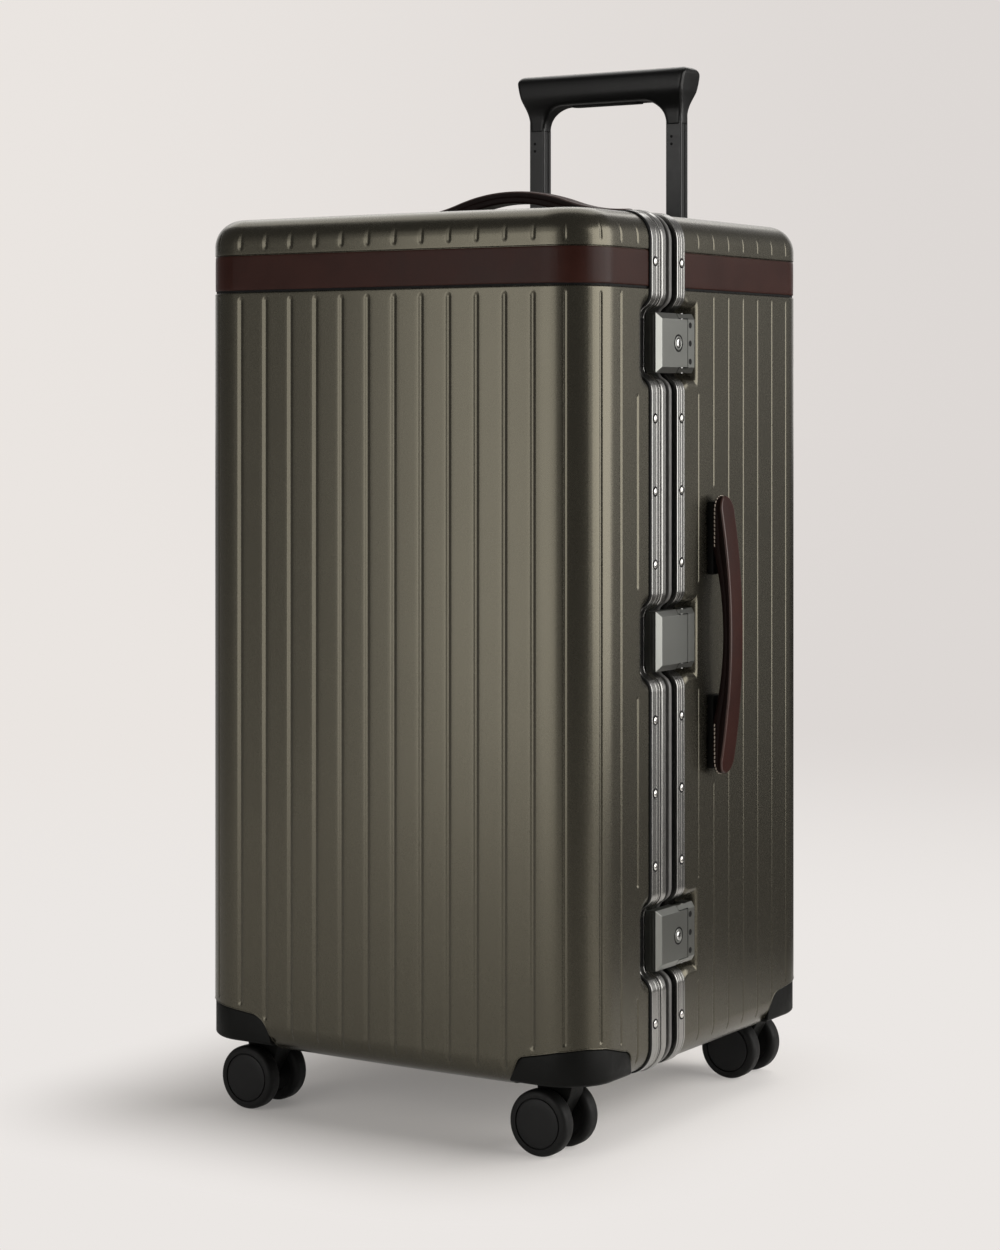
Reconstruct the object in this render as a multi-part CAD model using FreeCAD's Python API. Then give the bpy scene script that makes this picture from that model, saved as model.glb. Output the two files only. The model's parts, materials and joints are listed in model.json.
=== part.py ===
import FreeCAD, Part
import math
import os

V = FreeCAD.Vector
os.makedirs("parts", exist_ok=True)

# ---------------------------------------------------------------- driving dimensions (mm)
WIDTH = 400.0            # across the front face, X
DEPTH = 400.0            # front face to back face, Y
Z_BOT = 57.5             # underside of the shells above the floor
Z_TOP = 778.0            # top of the shells
R_VERT = 44.0            # radius of the four upright edges
R_EDGE = 24.0            # radius of the top and bottom edges
WALL = 2.4               # shell wall
Y_SEAM = -70.0           # parting plane of lid and base
X_OFF = -7.25            # shifts the body so that the overall box is centred on the origin

BAND_LO = Z_TOP - 62.8   # leather band, lower edge
BAND_HI = Z_TOP - 32.6   # leather band, upper edge
BAND_CHANNEL = 1.2       # depth of the channel for the band
BAND_INSET = 0.4         # face of the band below the face of the shell

DIP = 12.5               # the frame dips in by this at each latch
DIP_FLAT = 41.0          # straight length of a dip
DIP_RUN = 21.0           # length of the S bend at each end of a dip
Z_MID = 0.5 * (Z_BOT + Z_TOP)
LATCH_Z = [Z_MID - 250.5, Z_MID, Z_MID + 250.5]

LID_RIM = -76.2          # edge of the lid shell
BASE_RIM = -49.2         # edge of the base shell
FLANGE = 1.6             # frame flange stands this far out of the shell
LID_FLANGE_Y = -95.5
RIB = (-81.0, -72.9)      # rib of the lid frame beside the seam
BASE_FLANGE_Y = -38.9

HINGE_X = -(WIDTH / 2 + 6.0)
HINGE_R = 3.5
HINGE_PIN_R = 1.75
HINGE_HALF = 30.0

LATCH_HALF = 25.4        # half height of a latch
LEVER_OUT = 2.5          # outer face of a latch lever, out of the shell face
LEVER_IN = -8.2
LEVER_END = -86.0        # free end of a lever
PIVOT_Y = -40.0
PIVOT_N = -2.0
KEY_Y = -52.0
STRIP_Y = (-34.8, -23.4)  # fixed end strip of a latch
SCREW_Y = -31.6
KEY_R = 6.0

TUBE_X = 75.0            # pull-handle tubes
TUBE_Y = 173.0
TUBE_W, TUBE_D, TUBE_WALL = 16.5, 13.5, 1.3
TUBE_R = 1.4             # corner radius of the inner tubes
GRIP_TOP = 930.2         # top of the pull-handle grip as it stands part raised
GRIP_LEG = 878.0         # lower end of the grip legs
GRIP_UNDER = 900.4       # underside of the grip bar
GRIP_HALF = 91.6
GRIP_D = 35.0            # depth of the grip bar
GRIP_LEG_D = 14.6        # depth of the grip legs at their lower ends

SWIVEL_X = 150.0         # swivel axes at +-SWIVEL_X
SWIVEL_Y = {-1: -156.0, 1: 172.0}   # front and rear pairs
TRAIL = 7.0              # axle behind the swivel axis; all four trail towards -X
WHEEL_R = 27.5
WHEEL_W = 15.0
WHEEL_GAP = 24.0         # between the two wheels of a caster
AXLE_R = 3.0

TOP_HANDLE_Y = 13.0
SIDE_HANDLE_Y = 13.0
HANDLE_HALF = 118.0
HANDLE_W = 23.0
HANDLE_SOLID = 74.0      # the strap is one with its padding from here out to its tips
MOUNT_IN, MOUNT_OUT = 52.0, 115.0
MOUNT_H = 6.0


# ---------------------------------------------------------------- helpers
def box(x0, x1, y0, y1, z0, z1):
    return Part.makeBox(x1 - x0, y1 - y0, z1 - z0, V(x0, y0, z0))


def cyl(x, y, z, r, h, axis=(0, 0, 1)):
    return Part.makeCylinder(r, h, V(x, y, z), V(*axis))


def fuse(first, *others):
    out = first.fuse(list(others)) if others else first
    return out.removeSplitter()


def rrect_wire(x0, x1, y0, y1, r, z):
    e = []

    def arc(cx, cy, a0):
        p = [V(cx + r * math.cos(t), cy + r * math.sin(t), z)
             for t in (a0, a0 + math.pi / 4, a0 + math.pi / 2)]
        e.append(Part.Arc(*p).toShape())

    q = math.pi / 2
    e.append(Part.makeLine(V(x0 + r, y0, z), V(x1 - r, y0, z)))
    arc(x1 - r, y0 + r, -q)
    e.append(Part.makeLine(V(x1, y0 + r, z), V(x1, y1 - r, z)))
    arc(x1 - r, y1 - r, 0)
    e.append(Part.makeLine(V(x1 - r, y1, z), V(x0 + r, y1, z)))
    arc(x0 + r, y1 - r, q)
    e.append(Part.makeLine(V(x0, y1 - r, z), V(x0, y0 + r, z)))
    arc(x0 + r, y0 + r, 2 * q)
    return Part.Wire(e)


def rprism(x0, x1, y0, y1, r, z0, z1):
    return Part.Face(rrect_wire(x0, x1, y0, y1, r, z0)).extrude(V(0, 0, z1 - z0))


def edges_at(solid, zs):
    out = []
    for ed in solid.Edges:
        b = ed.BoundBox
        for z in zs:
            if abs(b.ZMin - z) < 1e-4 and abs(b.ZMax - z) < 1e-4:
                out.append(ed)
    return out


def rbox(x0, x1, y0, y1, z0, z1, r, rz):
    """upright box with round upright edges r and round top and bottom edges rz"""
    s = rprism(x0, x1, y0, y1, r, z0, z1)
    return s.makeFillet(rz, edges_at(s, (z0, z1)))


def body(inset):
    return rbox(-WIDTH / 2 + inset, WIDTH / 2 - inset, -DEPTH / 2 + inset, DEPTH / 2 - inset,
                Z_BOT + inset, Z_TOP - inset, R_VERT - inset, R_EDGE - inset)


DIP_R = (DIP_RUN ** 2 + DIP ** 2) / (4 * DIP)
DIP_A = 2 * math.atan2(DIP, DIP_RUN)


def frame_wire(d, y, dips=True):
    """loop of the frame in an XZ plane, offset d outwards, dipping in at the latches"""
    a = WIDTH / 2
    r = R_EDGE
    e = []

    def line(x0, z0, x1, z1):
        e.append(Part.makeLine(V(x0, y, z0), V(x1, y, z1)))

    def arc(cx, cz, rad, a0, a1):
        p = [V(cx + rad * math.cos(t), y, cz + rad * math.sin(t)) for t in (a0, 0.5 * (a0 + a1), a1)]
        e.append(Part.Arc(*p).toShape())

    pi = math.pi
    arc(a - r, Z_BOT + r, r + d, -pi / 2, 0)
    z = Z_BOT + r
    if dips:
        for zc in LATCH_Z:
            z1 = zc - DIP_FLAT / 2 - DIP_RUN
            z2 = zc + DIP_FLAT / 2
            line(a + d, z, a + d, z1)
            arc(a - DIP_R, z1, DIP_R + d, 0, DIP_A)
            arc(a - DIP + DIP_R, z1 + DIP_RUN, DIP_R - d, pi + DIP_A, pi)
            line(a - DIP + d, z1 + DIP_RUN, a - DIP + d, z2)
            arc(a - DIP + DIP_R, z2, DIP_R - d, pi, pi - DIP_A)
            arc(a - DIP_R, z2 + DIP_RUN, DIP_R + d, -DIP_A, 0)
            z = z2 + DIP_RUN
    line(a + d, z, a + d, Z_TOP - r)
    arc(a - r, Z_TOP - r, r + d, 0, pi / 2)
    line(a - r, Z_TOP + d, -a + r, Z_TOP + d)
    arc(-a + r, Z_TOP - r, r + d, pi / 2, pi)
    line(-a - d, Z_TOP - r, -a - d, Z_BOT + r)
    arc(-a + r, Z_BOT + r, r + d, pi, 1.5 * pi)
    line(-a + r, Z_BOT - d, a - r, Z_BOT - d)
    return Part.Wire(e)


def ring(d0, d1, y0, y1):
    f = Part.makeFace([frame_wire(d1, y0), frame_wire(d0, y0)], "Part::FaceMakerBullseye")
    return f.extrude(V(0, y1 - y0, 0))


def pocket(zc, d, y0, y1):
    """space outside the dipped skin at one latch, offset d"""
    a = WIDTH / 2
    z1 = zc - DIP_FLAT / 2 - DIP_RUN
    z2 = zc + DIP_FLAT / 2
    pi = math.pi
    e = []

    def arc(cx, cz, rad, a0, a1):
        p = [V(cx + rad * math.cos(t), y0, cz + rad * math.sin(t)) for t in (a0, 0.5 * (a0 + a1), a1)]
        e.append(Part.Arc(*p).toShape())

    arc(a - DIP_R, z1, DIP_R + d, 0, DIP_A)
    arc(a - DIP + DIP_R, z1 + DIP_RUN, DIP_R - d, pi + DIP_A, pi)
    e.append(Part.makeLine(V(a - DIP + d, y0, z1 + DIP_RUN), V(a - DIP + d, y0, z2)))
    arc(a - DIP + DIP_R, z2, DIP_R - d, pi, pi - DIP_A)
    arc(a - DIP_R, z2 + DIP_RUN, DIP_R + d, -DIP_A, 0)
    x = a + 12.0
    e.append(Part.makeLine(V(a + d, y0, z2 + DIP_RUN), V(x, y0, z2 + DIP_RUN)))
    e.append(Part.makeLine(V(x, y0, z2 + DIP_RUN), V(x, y0, z1)))
    e.append(Part.makeLine(V(x, y0, z1), V(a + d, y0, z1)))
    return Part.Face(Part.Wire(e)).extrude(V(0, y1 - y0, 0))


def poly_face(pts, plane):
    """pts: list of (u, v) or ('arc', mid, end); plane maps u, v to a point"""
    e = []
    first = pts[0]
    cur = first
    for p in pts[1:] + [first]:
        if p[0] == "arc":
            e.append(Part.Arc(plane(*cur), plane(*p[1]), plane(*p[2])).toShape())
            cur = p[2]
        else:
            if abs(p[0] - cur[0]) > 1e-6 or abs(p[1] - cur[1]) > 1e-6:
                e.append(Part.makeLine(plane(*cur), plane(*p)))
            cur = p
    return Part.Face(Part.Wire(e))


NODES = {}


def node(name, *solids):
    NODES[name] = list(solids)


# ---------------------------------------------------------------- shells
LID_POCKET_Y = -115.0
BASE_POCKET_Y = -18.5
outer = body(0.0)
inner = body(WALL)
for zc in LATCH_Z:
    outer = outer.cut(pocket(zc, 0.0, LID_POCKET_Y, BASE_POCKET_Y))
    inner = inner.cut(pocket(zc, -WALL, LID_POCKET_Y - WALL, BASE_POCKET_Y + WALL))
skin = outer.cut(inner)
channel = body(0.0).cut(body(BAND_CHANNEL)).common(
    box(-300, 300, -300, 300, BAND_LO - 1.0, BAND_HI + 1.0))
skin = skin.cut(channel)


# edge line of a corner housing over the shell's underside, u from the upright corner line
LONG = [(-12.0, -12.0), (-12.0, 38.5), (60.0, 31.0), ("arc", (74.0, 26.0), (81.0, 14.0)), (88.0, -12.0)]
SHORT_FRONT = [(-12.0, -12.0), (-12.0, 38.5), (28.0, 33.8), (58.5, 27.5), ("arc", (63.7, 25.2), (66.8, 20.6)), (73.5, 7.0), (78.0, -12.0)]
SHORT_SIDE = [(-12.0, -12.0), (-12.0, 38.5), (35.0, 34.1), (62.5, 26.8), ("arc", (70.3, 23.6), (73.6, 17.0)), (78.0, -12.0)]
EDGE_LINES = {"front_right": (SHORT_FRONT, SHORT_SIDE)}   # this housing is shorter than the others


def corner_tool(sx, sy, front=LONG, side=LONG):
    """block that takes in one bottom corner up to the edge line of its housing"""
    a = poly_face(front, lambda u, v: V(sx * (WIDTH / 2 - u), -300, Z_BOT + v)).extrude(V(0, 600, 0))
    b = poly_face(side, lambda u, v: V(-300, sy * (DEPTH / 2 - u), Z_BOT + v)).extrude(V(600, 0, 0))
    return a.common(b)


CORNERS = {"front_left": (-1, -1), "front_right": (1, -1), "rear_left": (-1, 1), "rear_right": (1, 1)}
PLATE_LO, PLATE_HI = 63.0, 66.4
STEM_R = 6.0
tools = {k: corner_tool(s[0], s[1], *EDGE_LINES.get(k, (LONG, LONG))) for k, s in CORNERS.items()}


def upright(inset, z0, z1):
    return rprism(-WIDTH / 2 + inset, WIDTH / 2 - inset, -DEPTH / 2 + inset, DEPTH / 2 - inset, R_VERT - inset, z0, z1)


# the housings drop straight down where the shells round in
house_out = upright(0.8, PLATE_LO, 400.0)
house_out = house_out.makeChamfer(2.2, edges_at(house_out, (PLATE_LO,)))
house_in = upright(3.8, PLATE_HI, 410.0)
for k, (sx, sy) in CORNERS.items():
    h = tools[k].common(house_out).cut(house_in)
    cx, cy = sx * SWIVEL_X, SWIVEL_Y[sy]
    h = h.cut(cyl(cx, cy, 40, STEM_R + 0.08, 60))
    node("corner_" + k, h)

lid_shell = skin.common(box(-300, 300, -300, LID_RIM, -50, 900))
base_shell = skin.common(box(-300, 300, BASE_RIM, 300, -50, 900))
for k in ("front_left", "front_right"):
    lid_shell = lid_shell.cut(tools[k])
for k in ("rear_left", "rear_right"):
    base_shell = base_shell.cut(tools[k])

# pull-handle cup let into the top of the base
CUP = (-111.0, 111.0, 155.0, 192.0)
CUP_FLOOR = 714.0
cup = rprism(CUP[0], CUP[1], CUP[2], CUP[3], 8.0, CUP_FLOOR, Z_TOP + 1.5)
base_shell = base_shell.cut(cup)
cup = cup.makeChamfer(0.8, edges_at(cup, (Z_TOP + 1.5,)))
cup = cup.cut(rprism(-104, 104, 159.0, 188.0, 5.5, CUP_FLOOR + 6.0, Z_TOP + 20))
for s in (-1, 1):
    cup = cup.cut(box(s * TUBE_X - 8.55, s * TUBE_X + 8.55, TUBE_Y - 7.05, TUBE_Y + 7.05, 600, 800))
node("trolley_cup", cup)
node("lid_shell", lid_shell)
node("base_shell", base_shell)


# leather bands in the channel, one per half
def band(y0, y1):
    b = body(BAND_INSET).cut(body(BAND_CHANNEL))
    return b.common(box(-300, 300, y0, y1, BAND_LO, BAND_HI))


node("lid_band", band(-300, LID_FLANGE_Y - 0.2))
node("base_band", band(BASE_FLANGE_Y + 0.2, 300))

# ---------------------------------------------------------------- frames
lid_frame = fuse(ring(0.05, FLANGE, LID_FLANGE_Y, RIB[1]),
                 ring(FLANGE, 2.4, RIB[0], RIB[1]),
                 ring(-9.0, FLANGE, LID_RIM + 0.1, RIB[1]),
                 ring(-9.0, -1.0, LID_RIM + 0.1, Y_SEAM - 0.2),
                 ring(-4.2, -WALL - 0.05, -94.0, Y_SEAM - 0.2))
lid_frame = lid_frame.cut(ring(1.1, 1.8, -84.0, -83.3)).cut(ring(1.1, 1.8, -81.8, -81.1))
NOTCH_Y = -75.6
NOTCH_N = -15.2
for zc in LATCH_Z:
    a = WIDTH / 2
    lid_frame = lid_frame.cut(box(a + NOTCH_N, a + 5, NOTCH_Y, Y_SEAM + 1, zc - 9, zc + 9))
node("lid_frame", lid_frame)

base_frame = fuse(ring(-7.0, -4.0, Y_SEAM + 0.2, BASE_RIM - 0.1),
                  ring(-7.0, FLANGE, -52.4, BASE_RIM - 0.1),
                  ring(0.05, FLANGE, -52.4, BASE_FLANGE_Y),
                  ring(-4.2, -WALL - 0.05, -52.4, -42.0))
base_frame = base_frame.cut(ring(1.1, 1.8, -51.2, -50.4))
node("base_frame", base_frame)

seal = fuse(ring(-3.95, 0.6, -64.6, -59.7), ring(-3.95, -3.0, Y_SEAM + 0.5, -52.5))
node("frame_seal", seal)


def rivet_heads(y):
    """low twelve-sided heads with a bevelled rim"""
    r, h, n = 3.0, 0.9, 12
    out = []

    def head(p, nrm):
        p, nrm = V(*p), V(*nrm)
        u = V(0, 1, 0)
        v = nrm.cross(u)

        def wire(rad, up):
            pts = [p + nrm * up + u * (rad * math.cos(2 * math.pi * i / n)) + v * (rad * math.sin(2 * math.pi * i / n))
                   for i in range(n)]
            return Part.makePolygon(pts + [pts[0]])

        low = Part.Face(wire(r, 0.0)).extrude(nrm * 0.4)
        top = Part.makeLoft([wire(r, 0.4), wire(0.5 * r, h)], True, True)
        out.append(low.fuse(top))

    a = WIDTH / 2 + FLANGE
    for dz in (-318.3, -187, -126, -65, 65, 126, 187, 318.3):
        head((a, y, Z_MID + dz), (1, 0, 0))
        head((-a, y, Z_MID + dz), (-1, 0, 0))
    for x in (-140, -48, 48, 140):
        head((x, y, Z_TOP + FLANGE), (0, 0, 1))
        head((x, y, Z_BOT - FLANGE), (0, 0, -1))
    return out


node("lid_frame_rivets", *rivet_heads(-90.0))
node("base_frame_rivets", *rivet_heads(-45.0))


# ---------------------------------------------------------------- linings, flat panels inside the halves
LINE_T = 1.6                       # lining thickness
LINE_X0, LINE_X1 = -190.0, 181.5   # side panels, outer faces
LINE_Z0, LINE_Z1 = 72.0, 768.0     # bottom and top panels, outer faces
LID_FLOOR = -190.0                 # lid panel behind the front face
BASE_FLOOR = 148.0                 # base panel in front of the pull-handle tubes
CUT_X, CUT_Y = 25.0, 25.0          # the lid lining cuts across its two upright corners
GAP = 0.1                          # between neighbouring panels


def slab(p0, p1, z0, z1, t):
    """upright panel from p0 to p1 in plan, t thick to the left of that direction"""
    d = V(p1[0] - p0[0], p1[1] - p0[1], 0)
    d.normalize()
    n = V(-d.y, d.x, 0) * t
    a, b = V(p0[0], p0[1], z0), V(p1[0], p1[1], z0)
    return Part.Face(Part.makePolygon([a, b, b + n, a + n, a])).extrude(V(0, 0, z1 - z0))


t, g = LINE_T, GAP
zi0, zi1 = LINE_Z0 + t + g, LINE_Z1 - t - g
x0, x1, yf = LINE_X0, LINE_X1, LID_FLOOR
plan = [(x0, LID_RIM - 0.8), (x0, yf + CUT_Y), (x0 + CUT_X, yf), (x1 - CUT_X, yf), (x1, yf + CUT_Y), (x1, LID_RIM - 0.8)]
panels = []
for i in range(len(plan) - 1):
    (ax_, ay_), (bx_, by_) = plan[i], plan[i + 1]
    length = math.hypot(bx_ - ax_, by_ - ay_)
    k0 = 0.0 if i == 0 else 0.75 / length
    k1 = 1.0 if i == len(plan) - 2 else 1.0 - 0.75 / length
    panels.append(slab((ax_ + (bx_ - ax_) * k0, ay_ + (by_ - ay_) * k0),
                       (ax_ + (bx_ - ax_) * k1, ay_ + (by_ - ay_) * k1), zi0, zi1, t))
deck = Part.Face(Part.makePolygon([V(a, b, 0) for a, b in plan] + [V(plan[0][0], plan[0][1], 0)]))
for z in (LINE_Z0, LINE_Z1 - t):
    d = deck.copy()
    d.translate(V(0, 0, z))
    panels.append(d.extrude(V(0, 0, t)))
node("lid_lining", *panels)

y0, y1 = BASE_RIM + 0.8, BASE_FLOOR
node("base_lining",
     box(x0, x1, y1 - t, y1, zi0, zi1),
     box(x0, x0 + t, y0, y1 - t - g, zi0, zi1),
     box(x1 - t, x1, y0, y1 - t - g, zi0, zi1),
     box(x0, x1, y0, y1, LINE_Z0, LINE_Z0 + t),
     box(x0, x1, y0, y1, LINE_Z1 - t, LINE_Z1))

# ---------------------------------------------------------------- hinges on the left side
lid_leaves, base_leaves, hinge_pins = [], [], []
for zc in LATCH_Z:
    a = -WIDTH / 2
    hx = HINGE_X
    lid = box(a - 4.2, a - 2.4, -94.0, -74.6, zc - HINGE_HALF, zc + HINGE_HALF)
    bas = box(a - 3.4, a - FLANGE, -65.2, -40.0, zc - HINGE_HALF, zc + HINGE_HALF)
    for s in (-1, 1):
        z0 = zc + 10.2 if s > 0 else zc - HINGE_HALF
        lid = lid.fuse(cyl(hx, Y_SEAM, z0, HINGE_R, HINGE_HALF - 10.2))
        lid = lid.fuse(box(a - 4.2, a - 2.4, -75.0, Y_SEAM, z0, z0 + HINGE_HALF - 10.2))
    bas = bas.fuse(cyl(hx, Y_SEAM, zc - 9.8, HINGE_R, 19.6))
    bas = bas.fuse(box(a - 3.4, a - 2.3, Y_SEAM, -65.0, zc - 9.8, zc + 9.8))
    lid = lid.cut(cyl(hx, Y_SEAM, zc - 40, HINGE_PIN_R + 0.05, 80)).removeSplitter()
    bas = bas.cut(cyl(hx, Y_SEAM, zc - 40, HINGE_PIN_R, 80)).removeSplitter()
    lid_leaves.append(lid)
    base_leaves.append(bas)
    hinge_pins.append(cyl(hx, Y_SEAM, zc - HINGE_HALF - 0.5, HINGE_PIN_R, 2 * HINGE_HALF + 1.0))
node("hinge_lid_leaves", *lid_leaves)
node("hinge_base_leaves", *base_leaves)
node("hinge_pins", *hinge_pins)

# ---------------------------------------------------------------- latches on the right side
A = WIDTH / 2
brackets, pins, screws, strikes = [], [], [], []
for name, zc in zip(("bottom", "middle", "top"), LATCH_Z):
    px, py = A + PIVOT_N, PIVOT_Y
    # fixed bracket: end strip and two lugs
    strip = box(A - DIP + 1.5, A + LEVER_OUT, STRIP_Y[0], STRIP_Y[1], zc - LATCH_HALF, zc + LATCH_HALF)
    strip = strip.makeChamfer(1.0, [e for e in strip.Edges
                                    if abs(e.BoundBox.XMin - (A + LEVER_OUT)) < 1e-6
                                    and abs(e.BoundBox.YMin - STRIP_Y[0]) > 1e-6])
    br = strip.fuse(box(A - DIP + 0.3, A - DIP + 2.0, STRIP_Y[0] + 1, STRIP_Y[1] - 1, zc - 18.0, zc + 18.0))
    for s in (-1, 1):
        z0 = zc + 20.3 if s > 0 else zc - LATCH_HALF
        h = LATCH_HALF - 20.3
        br = br.fuse(cyl(px, py, z0, 4.4, h))
        br = br.fuse(box(px - 4.0, px + 4.0, py, STRIP_Y[0] + 0.1, z0, z0 + h))
    br = br.cut(cyl(px, py, zc - 40, 1.5, 80)).removeSplitter()
    brackets.append(br)
    pins.append(cyl(px, py, zc - LATCH_HALF, 1.5, 2 * LATCH_HALF))
    # lever
    lv = box(A + LEVER_IN, A + LEVER_OUT, LEVER_END, py - 4.9, zc - LATCH_HALF, zc + LATCH_HALF)
    free = [e for e in lv.Edges if abs(e.BoundBox.XMin - (A + LEVER_OUT)) < 1e-6
            and abs(e.BoundBox.YMax - LEVER_END) < 1e-6]
    lv = lv.makeChamfer(3.2, free)
    lv = lv.fuse(box(A + LEVER_IN, A + LEVER_OUT - 0.1, py - 6.0, py, zc - 20.0, zc + 20.0))
    lv = lv.fuse(cyl(px, py, zc - 20.0, 4.1, 40.0))
    lv = lv.cut(cyl(px, py, zc - 40, 1.55, 80))
    lv = lv.fuse(box(A - 14.0, A + LEVER_IN + 0.5, -74.8, -72.4, zc - 8.0, zc + 8.0))
    if name != "middle":
        lv = lv.cut(cyl(A - 5.0, KEY_Y, zc, KEY_R + 0.06, 20, (1, 0, 0)))
        key = cyl(A - 4.9, KEY_Y, zc, KEY_R, 4.9 + LEVER_OUT + 0.5, (1, 0, 0))
        key = key.cut(box(A + LEVER_OUT - 2.6, A + LEVER_OUT + 3, KEY_Y - 0.7, KEY_Y + 0.7, zc - 3.6, zc + 3.6))
        node("key_cylinder_" + name, key)
        for dz in (-15.4, 0.0, 15.4):
            screws.append(cyl(A + LEVER_OUT, SCREW_Y, zc + dz, 2.1, 0.3, (1, 0, 0)))
    node("latch_lever_" + name, lv.removeSplitter())
    strikes.append(box(A + NOTCH_N, A + NOTCH_N + 0.7, NOTCH_Y, Y_SEAM - 0.4, zc - 9.0, zc + 9.0))
node("latch_brackets", *brackets)
node("latch_pins", *pins)
node("latch_screws", *screws)
node("latch_strikes", *strikes)

# ---------------------------------------------------------------- pull handle
outer_tubes, inner_tubes, tube_screws = [], [], []
for s in (-1, 1):
    x = s * TUBE_X
    o = rprism(x - 10.5, x + 10.5, TUBE_Y - 9.0, TUBE_Y + 9.0, 4.0, 76.0, CUP_FLOOR)
    o = o.cut(rprism(x - 8.55, x + 8.55, TUBE_Y - 7.05, TUBE_Y + 7.05, 1.5, 70.0, CUP_FLOOR + 10))
    outer_tubes.append(o)
    w, d = TUBE_W / 2, TUBE_D / 2
    t = rprism(x - w, x + w, TUBE_Y - d, TUBE_Y + d, TUBE_R, 456.0, 905.0)
    t = t.cut(rprism(x - w + TUBE_WALL, x + w - TUBE_WALL, TUBE_Y - d + TUBE_WALL, TUBE_Y + d - TUBE_WALL,
                     0.8, 450.0, 910.0))
    # shallow groove down each side of the tube
    for g in (-1, 1):
        lo, hi = sorted((x + g * (w - 0.6), x + g * (w + 1.0)))
        t = t.cut(box(lo, hi, TUBE_Y - 1.5, TUBE_Y + 1.5, 440.0, 920.0))
    inner_tubes.append(t)
    for z in (866.0, 859.0):
        tube_screws.append(cyl(x - 2.0, TUBE_Y - d, z, 1.3, 0.2, (0, -1, 0)))
node("trolley_outer_tubes", *outer_tubes)
node("trolley_inner_tubes", *inner_tubes)
node("trolley_screws", *tube_screws)
node("trolley_foot", rprism(-95, 95, 163.0, 184.0, 6.0, 67.0, 76.0))

# front outline of the grip: bar, legs and the hollows between them
prof = [(-83.7, GRIP_LEG), ("arc", (-84.7, 893.5), (-88.4, 908.0)), (-GRIP_HALF, 924.2),
        ("arc", (-90.2, 928.6), (-86.0, GRIP_TOP)), (86.0, GRIP_TOP),
        ("arc", (90.2, 928.6), (GRIP_HALF, 924.2)), (88.4, 908.0), ("arc", (84.7, 893.5), (83.7, GRIP_LEG)),
        (66.3, GRIP_LEG), ("arc", (60.0, 893.8), (44.0, GRIP_UNDER)), (-44.0, GRIP_UNDER),
        ("arc", (-60.0, 893.8), (-66.3, GRIP_LEG))]
grip = poly_face(prof, lambda u, v: V(u, TUBE_Y - 20.0, v)).extrude(V(0, 40.0, 0))
# side outline: full depth at the bar, drawn in to the tubes at the legs
gd, gl = GRIP_D / 2, GRIP_LEG_D / 2
flare = [(gl, GRIP_LEG), (gl + 0.5, 888.0), (gl + 2.5, 895.0), (gl + 5.5, 901.0), (gd - 0.9, 909.0), (gd, 915.0), (gd, 921.0),
         (gd - 2.0, 926.5), (gd - 6.5, GRIP_TOP)]
side = [(-u, v) for u, v in flare] + flare[::-1]
grip = grip.common(poly_face(side, lambda u, v: V(-120.0, TUBE_Y + u, v)).extrude(V(240.0, 0, 0)))
for s in (-1, 1):
    x = s * TUBE_X
    grip = grip.cut(rprism(x - TUBE_W / 2, x + TUBE_W / 2, TUBE_Y - TUBE_D / 2, TUBE_Y + TUBE_D / 2,
                           TUBE_R, 860.0, 905.0))
grip = grip.cut(rprism(-38.3, 38.3, TUBE_Y - 6.3, TUBE_Y + 6.3, 6.0, 890.0, 911.0))
node("trolley_grip", grip.removeSplitter())
node("release_button", rprism(-38.0, 38.0, TUBE_Y - 6.0, TUBE_Y + 6.0, 5.7, GRIP_UNDER - 1.2, 907.8))


# ---------------------------------------------------------------- leather handles
def handle(end_n, mid_n, gap_n, plane, across):
    """strap in the plane u along, v out of the face; across is the width vector"""
    h = HANDLE_HALF
    b, c = MOUNT_H, HANDLE_SOLID
    pts = [(-h, b), (-h, end_n), ("arc", (0.0, mid_n), (h, end_n)), (h, b), (c, b),
           ("arc", (0.0, gap_n), (-c, b))]
    s = poly_face(pts, plane).extrude(across)
    return s


def arched_handle(end_n, mid_n, run, gap_n, gap_run, plane, across):
    """strap with flat ends that rises to its middle in S bends; run and gap_run are half lengths of the rise"""
    h, b = HANDLE_HALF, MOUNT_H

    def rise(lo, hi, length):
        """radius, inflection and two mid points of an S bend from (length, lo) to (0, hi)"""
        r = (length ** 2 + (hi - lo) ** 2) / (4 * (hi - lo))
        q = length / 4.0
        d = r - math.sqrt(r * r - q * q)
        return (length / 2, (lo + hi) / 2), (length - q, lo + d), (q, hi - d)

    m, e, a = rise(end_n, mid_n, run)
    g, ge, ga = rise(b, gap_n, gap_run)
    pts = [(-h, b), (-h, end_n), (-run, end_n), ("arc", (-e[0], e[1]), (-m[0], m[1])), ("arc", (-a[0], a[1]), (0.0, mid_n)),
           ("arc", a, m), ("arc", e, (run, end_n)), (h, end_n), (h, b), (gap_run, b),
           ("arc", ge, g), ("arc", ga, (0.0, gap_n)), ("arc", (-ga[0], ga[1]), (-g[0], g[1])), ("arc", (-ge[0], ge[1]), (-gap_run, b))]
    return poly_face(pts, plane).extrude(across)


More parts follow.
